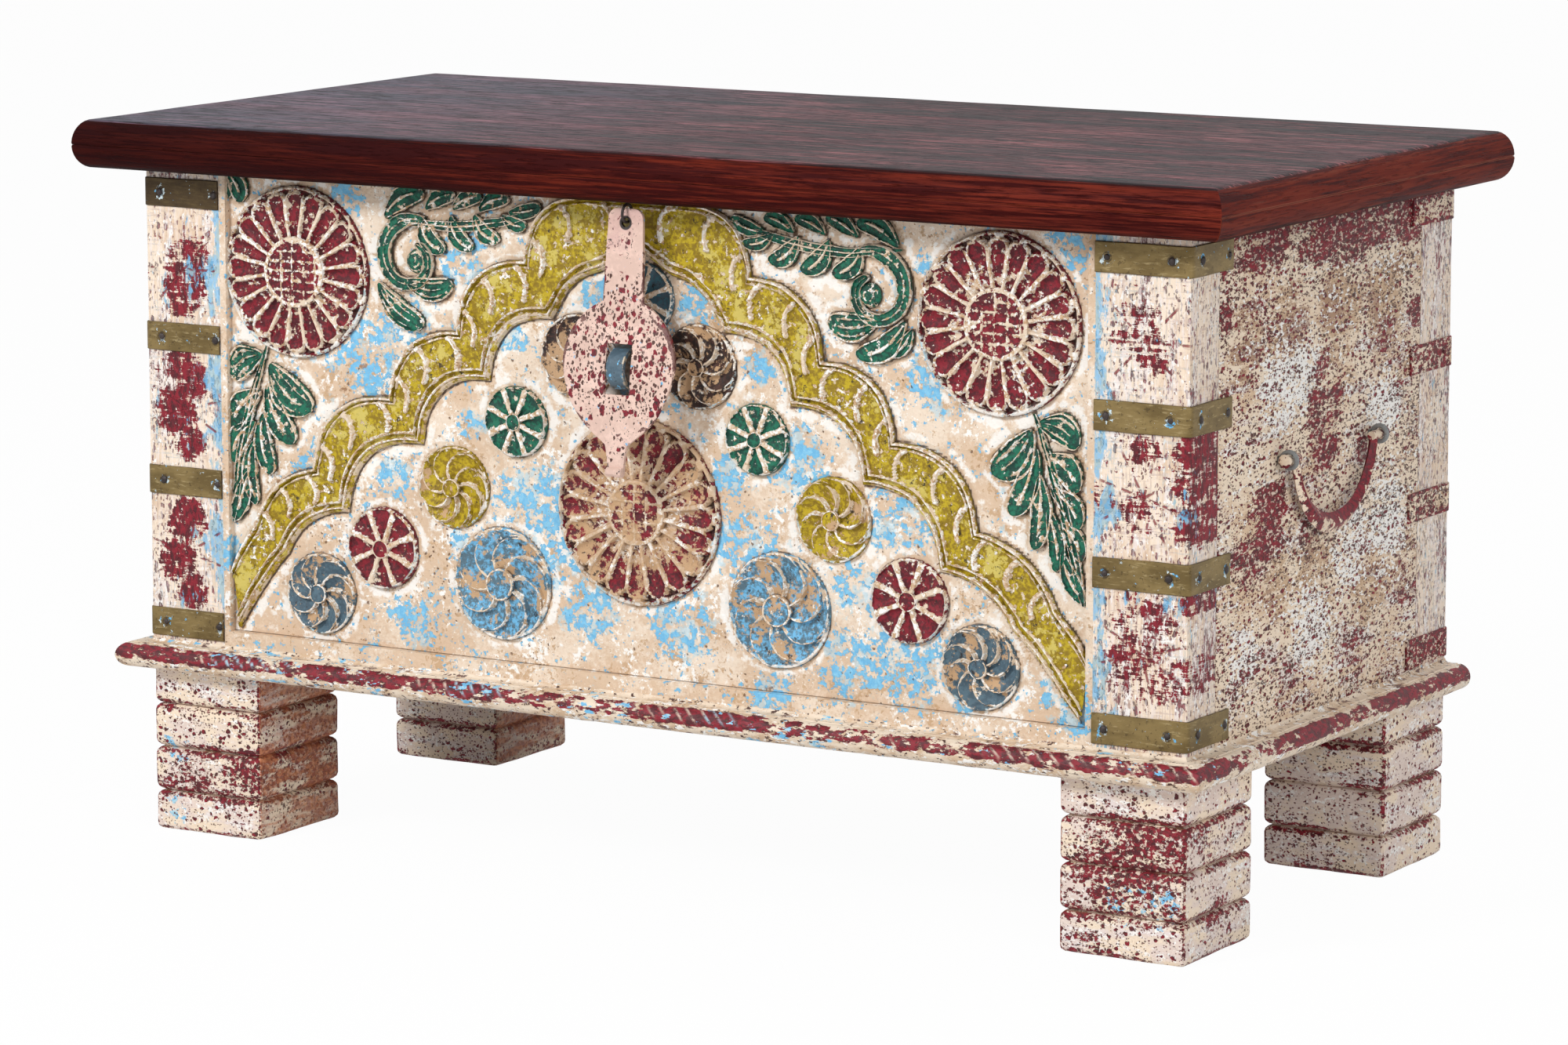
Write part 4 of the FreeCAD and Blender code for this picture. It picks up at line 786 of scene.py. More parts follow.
def roundTree():
    tree = newTree("carvedRound", [(key, "Float") for key in roundInputs]
                   + [("Count", "Int"), ("Finish", "Material")])
    n = Nodes(tree)
    given = n.add("NodeGroupInput")
    (radius, boss, sweep, ridgeWidth, scoop, tilt, roundness,
     height, depth, rise, lattice, rim, rub) = [given.out(k) for k in roundInputs]
    count = given.out("Count")
    at = n.add("ShaderNodeSeparateXYZ", {}, {0: n.add("GeometryNodeInputPosition")}, "X")

    # one sector, from the boss to the rim, then down to the ground
    reach = (at + 0.5) * 1.12
    across = at.out("Y") * 2
    half = math.pi / count
    inner = boss * 0.92
    r = inner + (radius - inner) * reach.least(1.0)
    lean = across * half
    lateral = r * abs(lean).sin()
    petalEnd = radius - rim
    rounded = petalEnd / (1 + half.sin())
    centre = radius + (rounded - radius) * roundness
    beyond = (r * lean.cos() - centre).most(0.0)
    width = r.least(centre) * half.sin()
    gap = width - (beyond * beyond + lateral * lateral).root()
    ridge = gap.ease(ridgeWidth * -1.2, 0.0) * (1 - gap.ease(ridgeWidth, ridgeWidth * 1.8))
    rimLine = r.ease(radius - rim, radius - rim * 0.55)
    ridge = (ridge * (1 - rimLine)).most(rimLine * 0.7)
    rubbed = ridge.most((1 - reach.ease(0.12, 0.62)) * rub)
    hollow = gap.ease(0.0, width * 0.9)
    outside = (gap * -1).ease(0.0, ridgeWidth * 1.5) * (1 - rimLine)
    slope = (0.5 + across * 0.5) * (1 - across.ease(0.84, 1.0))
    top = height - scoop * (0.45 + 0.55 * hollow) * (1 - ridge) * (1 - rimLine) - tilt * slope
    top = top - outside * scoop * 0.8 - rimLine * 0.35 * scoop
    down = reach.ease(1.0, 1.07)
    level = top * (1 - down) - depth * down
    wide = r + down * 0.0006
    angle = lean + sweep * reach * reach
    sector = n.add("GeometryNodeMeshGrid", {}, {"Size X": 1.0, "Size Y": 1.0, "Vertices X": 24, "Vertices Y": 13},
                   "Mesh")
    sector = n.paintOn(sector, "ridge", rubbed * (1 - down))
    sector = n.paintOn(sector, "rim", rimLine * (1 - down))
    sector = n.paintOn(sector, "low", outside * 0.8 + down * 0.6)
    sector = n.add("GeometryNodeSetPosition", {}, {"Geometry": sector,
                   "Position": n.add("ShaderNodeCombineXYZ", {},
                                     {0: wide * angle.cos(), 1: wide * angle.sin(), 2: level})})
    turn = n.add("GeometryNodeInputIndex") * (2 * math.pi / count)
    ring = n.add("GeometryNodeInstanceOnPoints", {}, {"Points": n.add("GeometryNodePoints", {}, {"Count": count}),
                 "Instance": sector, "Rotation": n.add("ShaderNodeCombineXYZ", {}, {2: turn})})

    # the boss: a low dome with a rim, and raised bars crossing it where lattice is 1
    out = at + 0.5
    spin = (at.out("Y") + 0.5) * (2 * math.pi)
    rb = boss * out
    bx = rb * spin.cos()
    by = rb * spin.sin()
    bar = 1 - (bx + 0.0006).beat(0.0094).least((by - 0.0008).beat(0.0068)).ease(0.0006, 0.0012)
    bar = bar * lattice * (1 - out.ease(0.80, 0.88))
    collar = out.ease(0.80, 0.86) * (1 - out.ease(0.93, 0.99))
    trough = out.ease(0.93, 1.0)
    domed = (height + rise * (1 - out * out * 0.75) + bar * 0.0009 + collar * 0.0010
             - trough * (rise * 0.25 + scoop + 0.0004))
    cap = n.add("GeometryNodeMeshGrid", {}, {"Size X": 1.0, "Size Y": 1.0, "Vertices X": 34, "Vertices Y": 97},
                "Mesh")
    cap = n.paintOn(cap, "ridge", (bar * 0.5).most(collar * 0.8))
    cap = n.paintOn(cap, "low", trough * 0.9)
    cap = n.add("GeometryNodeSetPosition", {}, {"Geometry": cap,
                "Position": n.add("ShaderNodeCombineXYZ", {}, {0: bx, 1: by, 2: domed})})

    both = n.add("GeometryNodeJoinGeometry", {}, {})
    tree.links.new(n.add("GeometryNodeRealizeInstances", {}, {"Geometry": ring}).socket, both.socket.node.inputs[0])
    tree.links.new(cap.socket, both.socket.node.inputs[0])
    merged = n.add("GeometryNodeMergeByDistance", {}, {"Geometry": both, "Distance": 0.00003})
    dressed = n.add("GeometryNodeSetMaterial", {}, {"Geometry": merged, "Material": given.out("Finish")})
    n.add("NodeGroupOutput", {}, {0: dressed})
    return tree


carvedRound = roundTree()
# the carved field: its ground in metres; drift to the left, half width, foot and top in mm
panel = {"ground": -0.1830, "drift": -2.8, "half": 340.5, "foot": 149.5, "top": 474.1}


def onPanel(x, z, height):  # a point of the carved front: x and z in mm, height above its ground in metres
    return ((x + panel["drift"]) / 1000, panel["ground"] - height, z / 1000)


outline = []  # where carving meets the ground, x and z in mm


def carveRound(name, x, z, values, finish, mirror=1):
    empty = bpy.data.meshes.new(name + "Holder")
    mesh = madeBy(carvedRound, name + "Holder", empty, dict(values, Finish=finish.material))
    mesh.name = name
    place = Matrix.Translation(onPanel(x, z, 0)) @ Matrix.Rotation(math.pi / 2, 4, "X")
    mesh.transform(place @ Matrix.Diagonal((mirror, 1, 1, 1)))
    closeUp(mesh)
    rims = mesh.attributes["rim"].data
    for v, r in zip(mesh.vertices, rims):
        r.value *= float(ease((z / 1000 - v.co.z) / values["Radius"], -0.45, 0.35))
    outline.extend((x + values["Radius"] * 1000 * math.cos(a), z + values["Radius"] * 1000 * math.sin(a))
                   for a in np.linspace(0, 2 * math.pi, int(values["Radius"] * 6000)))
    nudged(mesh, 0.0006, 70, z)
    worn(mesh, 0.00028, 210, x)
    return keep(name, mesh, finish, "chest")


rosette = {"Count": 20, "Sweep": 0.0, "Ridge": 0.0010, "Scoop": 0.0040, "Tilt": 0.0, "Roundness": 1.0,
           "Height": 0.0054, "Depth": 0.0005, "Rise": 0.0006, "Lattice": 1.0, "Rim": 0.0030}
blades = {"Count": 8, "Ridge": 0.0008, "Scoop": 0.0014, "Tilt": 0.0038, "Roundness": 0.55,
          "Height": 0.0052, "Depth": 0.0005, "Rise": 0.0008, "Lattice": 0.0, "Rim": 0.0014}
spokes = {"Count": 8, "Sweep": 0.0, "Ridge": 0.0012, "Scoop": 0.0030, "Tilt": 0.0, "Roundness": 0.0,
          "Height": 0.0054, "Depth": 0.0005, "Rise": 0.0006, "Lattice": 0.0, "Rim": 0.0012}
rubbed = {"rosetteLeft": 0.15, "rosetteRight": 0.40, "rosetteCentre": 0.55}  # how bare the feet of the petals are
# name, x, z, radius and boss in mm, kind, which way the blades turn, colour
rounds = [
    ("rosetteLeft", -282.5, 407.5, 59.5, 26.0, rosette, 0, "crimson"),
    ("rosetteRight", 273.5, 408.5, 60.0, 25.0, rosette, 0, "crimson"),
    ("rosetteCentre", -2.5, 262, 63.5, 23.5, rosette, 0, "crimsonWorn"),
    ("bladesLowLeft", -265, 182.5, 28.0, 7.0, blades, -1, "slate"),
    ("bladesLowRight", 261, 181, 28.0, 7.0, blades, 1, "slate"),
    ("bladesSkyLeft", -113, 203, 38.5, 11.5, blades, -1, "sky"),
    ("bladesSkyRight", 108, 205, 38.5, 11.5, blades, 1, "sky"),
    ("bladesGoldLeft", -152.5, 266.5, 28.0, 7.0, blades, -1, "mustardDeep"),
    ("bladesGoldRight", 149.6, 269.5, 28.0, 7.0, blades, 1, "mustardDeep"),
    ("bladesBrownLeft", -50.5, 364, 29.0, 6.5, blades, -1, "brown"),
    ("bladesBrownRight", 45.5, 364, 28.5, 6.5, blades, 1, "brown"),
    ("wheelTop", 1, 407, 24.0, 5.5, spokes, 0, "teal"),
    ("wheelRedLeft", -211.6, 219, 28.0, 7.0, spokes, 0, "crimson"),
    ("wheelRedRight", 207.8, 220.5, 28.0, 7.0, spokes, 0, "crimson"),
    ("wheelGreenLeft", -100.8, 316, 24.0, 6.0, spokes, 0, "emerald"),
    ("wheelGreenRight", 91, 318.5, 23.6, 6.0, spokes, 0, "emerald"),
]
for name, x, z, radius, boss, kind, hand, colour in rounds:
    values = dict(kind, Radius=radius / 1000, Boss=boss / 1000, Rub=rubbed.get(name, 0.0))
    if hand:
        values["Sweep"] = math.radians(52)
    carveRound(name, x, z, values, paint[colour], hand or 1)
print("round carvings made:", len(rounds))


# the lobed arch: two bands of lobes from the crown down to the feet
arch = {"top": 0.0054, "scoop": 0.0032, "rise": 0.235, "tail": 0.145, "last": 0.04, "steps": 56, "lanes": 52}
outerCusps = [(42, 474), (90.5, 427), (146.5, 374.5), (202, 325), (265.5, 270.5), (322, 225), (341, 193)]
innerCusps = [(0, 441), (69, 388), (121, 342.5), (176.5, 294.5), (237, 241.5), (290, 208), (336, 151)]
crownLine = [(0, 441), (13, 432), (26, 424.5), (45, 418.5), (58, 407), (65, 395), (71, 386.5)]
# how the halves were set out: shift in mm, side, and the stretch of x over which it grows
drifts = ((-1.7, 1, 0, 80), (1.5, -1, 0, 80), (4.4, 1, 322, 341), (2.0, -1, 280, 330))


def bowed(a, b, rise, count):
    a, b = np.array(a, float), np.array(b, float)
    chord = b - a
    across = np.array([-chord[1], chord[0]])
    s = np.linspace(0, 1, count)[:, None]
    turn = 4 * rise * s * (1 - s)
    return a + chord * s + across * turn


def eased(points, count):
    # a smooth line through the points, evenly stepped
    points = np.array(points, float)
    s = np.arange(len(points))
    fine = np.linspace(0, len(points) - 1, 200)
    x = np.interp(fine, s, points[:, 0])
    z = np.interp(fine, s, points[:, 1])
    kernel = np.hanning(41)
    kernel /= kernel.sum()
    smooth = [np.convolve(np.pad(c, 20, mode="reflect", reflect_type="odd"), kernel, mode="valid") for c in (x, z)]
    run = np.concatenate([[0], np.cumsum(np.hypot(np.diff(smooth[0]), np.diff(smooth[1])))])
    return np.stack([np.interp(np.linspace(0, run[-1], count), run, c) for c in smooth], -1)


def settled(q):
    # the two halves of the arch, each as its carver set it out
    x, z = q
    moved = x - 2.7
    for shift, side, low, high in drifts:
        moved += shift * float(ease(side * x, low, high))
    return moved - 2.2 * float(ease(abs(x), 165, 235) * (1 - ease(abs(x), 270, 320))), z


def archRibs(k, high):
    # crescents that leave the outer border and hang down into the band
    spots = []
    for share in ((0.36, 0.66, 0.90) if k == 0 else (0.12, 0.46, 0.80)):
        start = high[int(share * (len(high) - 1))] + np.array((-3.5, -4.5))
        long = 22 if k < 4 else 18
        bend, end = start + np.array((-11, -7)), start + np.array((-6, -long))
        t = np.linspace(0, 1, 24)[:, None]
        spots.append((1 - t) ** 2 * start + 2 * t * (1 - t) * bend + t * t * end)
    return np.vstack(spots)


def archHalf(hand):
    rows, ridges, lows, bevels = [], [], [], []
    steps, lanes = arch["steps"], arch["lanes"]
    lobes = len(innerCusps) - 1
    for k in range(lobes):
        rise = (arch["rise"] if k < 4 else arch["tail"]) if k < lobes - 1 else arch["last"]
        if k == 0:  # the crown: a drawn line below, a flat and one lobe above
            low = eased(crownLine, steps)
            high = np.vstack([np.linspace((0, 474), outerCusps[0], steps // 2),
                              bowed(outerCusps[0], outerCusps[1], rise, steps - steps // 2)])
        else:
            low = bowed(innerCusps[k], innerCusps[k + 1], rise, steps)
            high = bowed(outerCusps[k], outerCusps[k + 1], rise, steps)
        ribSpots = archRibs(k, high)
        for i in range(steps if k == lobes - 1 else steps - 1):
            v = np.linspace(0, 1, lanes)
            line = low[i] + (high[i] - low[i]) * v[:, None]
            span = np.linalg.norm(high[i] - low[i])
            fromOut, fromIn = (1 - v) * span, v * span
            outLine = ease(fromOut, 0.2, 1.1) * (1 - ease(fromOut, 1.9, 2.8))
            outSecond = ease(fromOut, 4.2, 5.0) * (1 - ease(fromOut, 5.7, 6.6))
            inLine = ease(fromIn, 3.0, 3.8) * (1 - ease(fromIn, 4.8, 5.7))
            inSecond = ease(fromIn, 8.2, 9.0) * (1 - ease(fromIn, 9.8, 10.8))
            ribs = np.zeros_like(v)  # drawn stronger than the borders
            if k < lobes - 1:
                apart = np.min(np.linalg.norm(line[:, None, :] - ribSpots[None], axis=2), axis=1)
                ribs = 1.5 * (1 - ease(apart, 1.0, 2.2)) * ease(fromIn, 9.5, 11.5) * ease(fromOut, 2.5, 3.5)
            ridge = np.maximum.reduce([outLine, outSecond * 0.6, inLine, inSecond * 0.9, ribs])
            edge = np.minimum(ease(fromOut, -0.1, 0.5),
                              0.35 * ease(fromIn, -0.1, 0.4) + 0.65 * ease(fromIn, 0.2, 3.4))
            bevel = (1 - ease(fromIn, 2.4, 3.6)) * 0.9
            gutter = (ease(fromOut, 2.4, 3.2) * (1 - ease(fromOut, 3.8, 4.6))
                      + ease(fromIn, 5.4, 6.4) * (1 - ease(fromIn, 7.4, 8.4)))
            nearest = np.minimum(fromOut, fromIn)
            top = arch["top"] - arch["scoop"] * (1 - np.minimum(ridge, 1.0)) * ease(nearest, 1.5, 4) - gutter * 0.0007
            top = top * edge
            rows.append([onPanel(*settled((hand * q[0], q[1])), h) for q, h in zip(line, top)])
            ridges.append(ridge * edge)
            bevels.append(bevel)
            lows.append(np.maximum((1 - ease(nearest, -0.1, 0.5)) * 0.9, gutter * 0.45))
            outline.extend([settled((hand * q[0], q[1])) for q in (low[i], high[i])])
    return sheet("arch", rows, {"ridge": ridges, "low": lows, "rim": bevels})


for hand, name in ((-1, "archLeft"), (1, "archRight")):
    mesh = archHalf(hand)
    if hand < 0:
        mesh.flip_normals()
    nudged(mesh, 0.0006, 55, 2)
    worn(mesh, 0.00026, 210, hand)
    keep(name, mesh, paint["mustard"], "chest")
print("arch made")


# leaves: each a pointed, fluted blade from its foot to its tip
leaf = {"top": 0.0046, "step": 0.0002, "flute": 0.0020, "full": 0.42, "taper": 0.60}


def leafMesh(foot, tip, width, bend, flutes, top):
    foot, tip = np.array(foot, float), np.array(tip, float)
    along = tip - foot
    length = np.linalg.norm(along)
    across = np.array([-along[1], along[0]]) / length
    t = np.linspace(-1, 1, 27)
    side = np.abs(t)
    rows, ridges, lows = [], [], []
    for a in np.linspace(0, 1, 26):
        point = math.sqrt(max(0.0, 1 - max(0.0, (a - leaf["taper"]) / 0.40) ** 2))
        wide = width / 2 * min(1.0, a / leaf["full"]) ** 0.7 * point + 0.8
        mid = foot + along * a + across * (bend * length * math.sin(math.pi * a))
        edge = 1 - ease(side, 0.93, 1.0)
        phase = side * max(1, flutes - 1) * 0.93
        ridge = (1 - ease(np.abs(phase - np.round(phase)), 0.06, 0.20)) * ease(a, 0.05, 0.2)
        ridge = np.where(side > 0.8, np.maximum(ridge, ease(side, 0.78, 0.86)), ridge * (1 - ease(a, 0.72, 0.9)))
        dome = 0.62 + 0.38 * np.sqrt(np.clip(1 - side ** 2 * 0.9, 0, 1))
        height = (top - leaf["flute"] * (1 - ridge)) * edge * dome * (0.8 + 0.2 * math.sin(math.pi * min(1, a * 1.1)))
        points = mid + across * (wide * t)[:, None]
        rows.append([onPanel(q[0], q[1], h) for q, h in zip(points, height)])
        outline.extend([tuple(points[0]), tuple(points[-1])])
        ridges.append(ridge * edge * 0.8)
        lows.append((1 - edge) * 0.8)
    return sheet("leaf", rows, {"ridge": ridges, "low": lows})


# foot x, foot z, tip x, tip z, width, bend and flutes of each leaf, in mm
fernRight = [(303, 352, 340, 229, 6, 0.03, 1), (302, 341, 273, 309, 25, 0.10, 3), (305, 329, 287, 284, 18, 0.06, 2),
             (308, 312, 304, 263, 15, 0.06, 2), (314, 290, 320, 250, 12, 0.08, 2), (306, 346, 336, 334, 20, 0.14, 3),
             (311, 325, 336, 304, 17, 0.16, 2), (316, 304, 337, 279, 15, 0.14, 2), (322, 282, 339, 259, 12, 0.12, 2),
             (324, 262, 340, 231, 12, -0.04, 2)]
fernLeft = [(-309, 354, -340, 227, 6, -0.03, 1), (-307, 341, -272, 310, 26, -0.10, 3),
            (-309, 326, -288, 286, 19, -0.06, 2), (-313, 306, -307, 263, 15, -0.06, 2),
            (-322, 286, -321, 241, 12, -0.08, 2), (-313, 348, -340, 330, 21, -0.14, 3),
            (-315, 322, -340, 293, 19, -0.12, 2), (-320, 300, -340, 270, 16, -0.12, 2),
            (-326, 264, -340, 228, 13, 0.04, 2)]
sprayRight = [(204, 452, 88, 459, 6, 0.06, 1), (99, 458, 73, 465, 10, 0.05, 2), (122, 459, 99, 468, 10, -0.1, 2),
              (146, 459, 123, 469, 10, -0.1, 2), (171, 459, 146, 470, 11, -0.1, 2),
              (201, 454, 170, 469, 14, -0.12, 2), (106, 456, 83, 449, 9, 0.1, 2), (126, 456, 103, 438, 13, 0.14, 2),
              (149, 455, 128, 433, 14, 0.14, 2), (174, 452, 152, 432, 14, 0.14, 2), (186, 404, 148, 401, 19, 0.10, 3),
              (207, 405, 170, 380, 16, 0.14, 2), (212, 400, 196, 382, 9, 0.1, 2)]
sprayLeft = [(-206, 450, -84, 459, 6, -0.06, 1), (-104, 459, -78, 464, 10, -0.05, 2),
             (-128, 459, -104, 469, 10, 0.1, 2), (-150, 459, -126, 469, 10, 0.1, 2),
             (-172, 458, -148, 469, 11, 0.1, 2), (-206, 450, -174, 469, 15, 0.14, 2),
             (-110, 457, -90, 450, 9, -0.1, 2), (-132, 456, -113, 438, 12, -0.14, 2),
             (-152, 454, -135, 431, 13, -0.14, 2), (-176, 452, -158, 428, 14, -0.14, 2),
             (-190, 408, -150, 406, 16, -0.12, 3), (-212, 404, -175, 376, 17, -0.10, 3),
             (-338, 474, -327, 454, 14, 0.1, 2), (-345, 470, -338, 456, 9, 0.0, 1)]
sprayShift = {1: -2.4, -1: -1.3}  # in mm, of the right spray and the left one
for name, leaves, along in (("fernRight", fernRight, -2.9), ("fernLeft", fernLeft, 0.4),
                            ("sprayRight", sprayRight, sprayShift[1]), ("sprayLeft", sprayLeft, sprayShift[-1])):
    grown = []
    for k, (fx, fz, tx, tz, width, bend, flutes) in enumerate(leaves):
        top = leaf["top"] + leaf["step"] * (k % 4)
        grown.append(leafMesh((fx + along, fz), (tx + along, tz), width, bend, flutes, top))
    carved = worn(nudged(join(name, grown), 0.0007, 60, len(leaves)), 0.0003, 230, len(leaves))
    keep(name, carved, paint["emerald"], "chest")


# places and radii in mm, heights in metres
scroll = {"x": 184.0, "z": 423.0, "start": 112, "radius": 28.5, "coil": 17.5, "wide": 6.4, "thin": 3.2,
          "top": 0.0052, "flute": 0.0020, "budX": 180, "budZ": 421, "bud": 8.6}


def scrollMesh(hand):
    # the rolled end of the spray: a band that thins as it turns in on a bud
    s = scroll
    centre, along = np.array((s["x"], s["z"])), sprayShift[hand]
    rows, ridges, lows = [], [], []
    for a in np.linspace(0, 1, 80):
        turn = math.radians(s["start"] - 360 * a)
        r = s["radius"] - s["coil"] * a ** 0.9
        tip = math.sqrt(max(0.02, 1 - max(0.0, (a - 0.9) / 0.1) ** 2))
        wide = (s["wide"] - s["thin"] * a) * min(1.0, 0.45 + a * 5) * tip
        out = np.array((math.cos(turn), math.sin(turn)))
        t = np.linspace(-1, 1, 21)
        side = np.abs(t)
        edge = 1 - ease(side, 0.92, 1.0)
        ridge = np.maximum(ease(side, 0.76, 0.86) * edge, (1 - ease(side, 0.05, 0.16)) * 0.6)
        height = (s["top"] - s["flute"] * (1 - ridge)) * edge
        points = centre + out * r + out * (wide * t)[:, None]
        rows.append([onPanel(hand * q[0] + along, q[1], h) for q, h in zip(points, height)])
        outline.extend([(hand * q[0] + along, q[1]) for q in (points[0], points[-1])])
        ridges.append(ridge * edge)
        lows.append(1 - edge)
    band = sheet("scroll", rows, {"ridge": ridges, "low": lows})
    rings, around = 9, 28
    bud = []
    for r in np.linspace(0.02, 1, rings):
        bud.append([onPanel(hand * (s["budX"] + s["bud"] * r * math.cos(b)) + along,
                            s["budZ"] + s["bud"] * r * math.sin(b),
                            s["top"] * math.sqrt(1.02 - r * r))
                    for b in np.linspace(0, 2 * math.pi, around, endpoint=False)])
    ridges = [[0.15 + 0.3 * (k % 3 == 0)] * around for k in range(rings)]
    lows = [[float(k == rings - 1)] * around for k in range(rings)]
    bud = sheet("bud", bud, {"ridge": ridges, "low": lows}, False, True)
    if hand > 0:
        band.flip_normals()
    else:
        bud.flip_normals()
    return join("scroll", [band, bud])


for hand, name in ((1, "scrollRight"), (-1, "scrollLeft")):
    keep(name, worn(nudged(scrollMesh(hand), 0.0006, 60, hand), 0.0003, 230, 3 + hand), paint["emerald"], "chest")
print("leaves and scrolls made")


# carved ground and the board behind it
groundWear = {"swell": 0.0008, "grain": 0.00045, "moat": 0.0006}


def groundMesh():
    near = kdtree.KDTree(len(outline))
    for k, (x, z) in enumerate(outline):
        near.insert((x, 0, z), k)
    near.balance()
    half, foot, top = panel["half"], panel["foot"], panel["top"]
    gx, gz = np.meshgrid(np.linspace(-half, half, 341), np.linspace(foot, top, 163))
    away = np.array([near.find((x, 0, z))[2] for x, z in zip(gx.flat, gz.flat)]).reshape(gx.shape)
    # moat: a shallow dip where the ground meets the carving, which the ground paint also darkens as painted shade
    moat = 1 - ease(away, 0.4, 2.2)
    rim = ease(away, 1.8, 3.4) * (1 - ease(away, 5, 11))
    flat = np.stack([(gx + panel["drift"]) / 1000, np.zeros_like(gx), gz / 1000], -1)
    swell, grain = rough(flat, 34, 1.0).reshape(gx.shape), rough(flat, 150, 5.0).reshape(gx.shape)
    bumps = swell * groundWear["swell"] + grain * groundWear["grain"]
    edge = np.minimum.reduce([gx + half, half - gx, gz - foot, top - gz])
    bumps = bumps * ease(edge, 0, 4) - moat * groundWear["moat"]
    grid = np.stack([flat[..., 0], panel["ground"] - bumps, gz / 1000], -1)
    return sheet("ground", grid, {"moat": moat, "rim": rim})


def boxMesh(x0, y0, z0, x1, y1, z1, soften=0.0008):
    shape = bmesh.new()
    bmesh.ops.create_cube(shape, size=1.0)
    for v in shape.verts:
        v.co = Vector(((x0 + x1) / 2 + v.co.x * (x1 - x0), (y0 + y1) / 2 + v.co.y * (y1 - y0),
                       (z0 + z1) / 2 + v.co.z * (z1 - z0)))
    bmesh.ops.bevel(shape, geom=list(shape.edges), offset=soften, segments=2, profile=0.5, affect="EDGES")
    mesh = bpy.data.meshes.new("box")
    shape.to_mesh(mesh)
    shape.free()
    return mesh


def lined(mesh, finish):
    # the faces that look into the chest are plain wood
    mesh.materials.append(finish.material)
    mesh.materials.append(paint["plain"].material)
    for face in mesh.polygons:
        endsIn, sidesIn = face.normal.x * face.center.x < -0.25, face.normal.y * face.center.y < -0.09
        face.material_index = int(face.center.y > -0.17 and (endsIn or sidesIn))
    return mesh


keep("carvedGround", groundMesh(), paint["ground"], "chest")
panelShift = panel["drift"] / 1000  # the seams beside the field and the ends of the front straps move with it
board = {"x": 0.3455, "front": -0.1822, "back": -0.1630}
strip = {"in": 0.3405, "out": 0.3462, "front": -0.1889, "back": -0.1812, "foot": 0.1482}
rail = {"x": 0.3466, "back": -0.1810, "top": 0.1490}
frontBoard = [boxMesh(-board["x"], board["front"], chest["foot"], board["x"], board["back"], chest["top"])]
for x0, x1 in ((panelShift - strip["out"], panelShift - strip["in"]),
               (panelShift + strip["in"], panelShift + strip["out"])):
    frontBoard.append(boxMesh(x0, strip["front"], strip["foot"], x1, strip["back"], chest["top"], 0.0006))
frontBoard.append(boxMesh(panelShift - rail["x"], chest["front"], chest["foot"],
                          panelShift + rail["x"], rail["back"], rail["top"], 0.0012))
keep("frontBoard", lined(join("frontBoard", frontBoard), paint["ground"]), paint["ground"], "chest", ("front_panel",))
print("carved ground made")


# posts, end boards, back and bottom: the CAD boards with their edges eased
postEdge = 0.352  # points of a front post nearer the middle than this lie on its inner edge
for node in ("front_post_left", "front_post_right", "rear_post_left", "rear_post_right"):
    mesh = softened(node, 0.0011, 0.02)
    if "front" in node:
        for v in mesh.vertices:
            v.co.x += panelShift * (abs(v.co.x) < postEdge)
    keep(node + "_look", lined(worn(mesh, 0.0003, 30, 2.0), paint["posts"]), paint["posts"], "chest", (node,))
for node in ("side_board_left", "side_board_right"):
    keep(node + "_look", lined(softened(node, 0.0008), paint["sides"]), paint["sides"], "chest", (node,))
for node in ("back_board", "bottom_board"):
    keep(node + "_look", softened(node, 0.0008), paint["plain"], "chest", (node,))


# lid: a board over four mitred strips, with a seam round the nose
lid = {"x": 0.450, "y": 0.2238, "top": 0.5089, "seam": 0.4910, "under": 0.4744, "nose": 0.011, "strip": 0.070,
       "groove": 0.0004, "mitre": 0.0002, "gap": 0.0001}


def noseProfile(height, count=9):
    # (inset, z) from the seam up to the flat, with the seam's edge eased
    points = [(lid["groove"], lid["seam"])]
    for k in range(count):
        a = 0.07 + (math.pi / 2 - 0.07) * k / (count - 1)
        points.append((lid["nose"] * (1 - math.cos(a)), lid["seam"] + height * math.sin(a)))
    return points


def lidBoard():
    rows = []
    profile = [(0.02, lid["seam"])] + noseProfile(lid["top"] - lid["seam"])
    profile += [(inset, lid["top"]) for inset in (0.018, 0.045, 0.10)]
    for inset, z in profile:
        x, y = lid["x"] - inset, lid["y"] - inset
        corners = [(-x, -y), (x, -y), (x, y), (-x, y)]
        row = []
        for (ax, ay), (bx, by) in zip(corners, corners[1:] + corners[:1]):
            steps = 60 if abs(bx - ax) > abs(by - ay) else 30
            for k in range(steps):
                share = k / steps
                row.append((ax + (bx - ax) * share, ay + (by - ay) * share, z))
        rows.append(row)
    nose = [0.4 * (1 - min(1, inset / 0.012)) for inset, z in profile]
    marks = [[m] * len(rows[0]) for m in nose]
    seams = [[float(k < 2)] * len(rows[0]) for k in range(len(profile))]
    mesh = closeUp(sheet("lidBoard", rows, {"edge": marks, "low": seams}, False, True))
    for finish in ("lid", "lidEdgeX", "lidEdgeY"):
        mesh.materials.append(paint[finish].material)
    for face in mesh.polygons:
        fromX, fromY = lid["x"] - abs(face.center.x), lid["y"] - abs(face.center.y)
        if min(fromX, fromY) < 0.0075 or face.normal.z < -0.5:
            face.material_index = 1 if fromY < fromX or face.normal.z < -0.5 else 2
    return mesh


keep("lidBoard", within(worn(lidBoard(), 0.00025, 14, 3.0), "lid_board"), paint["lid"], "lid", ("lid_board",), 50)


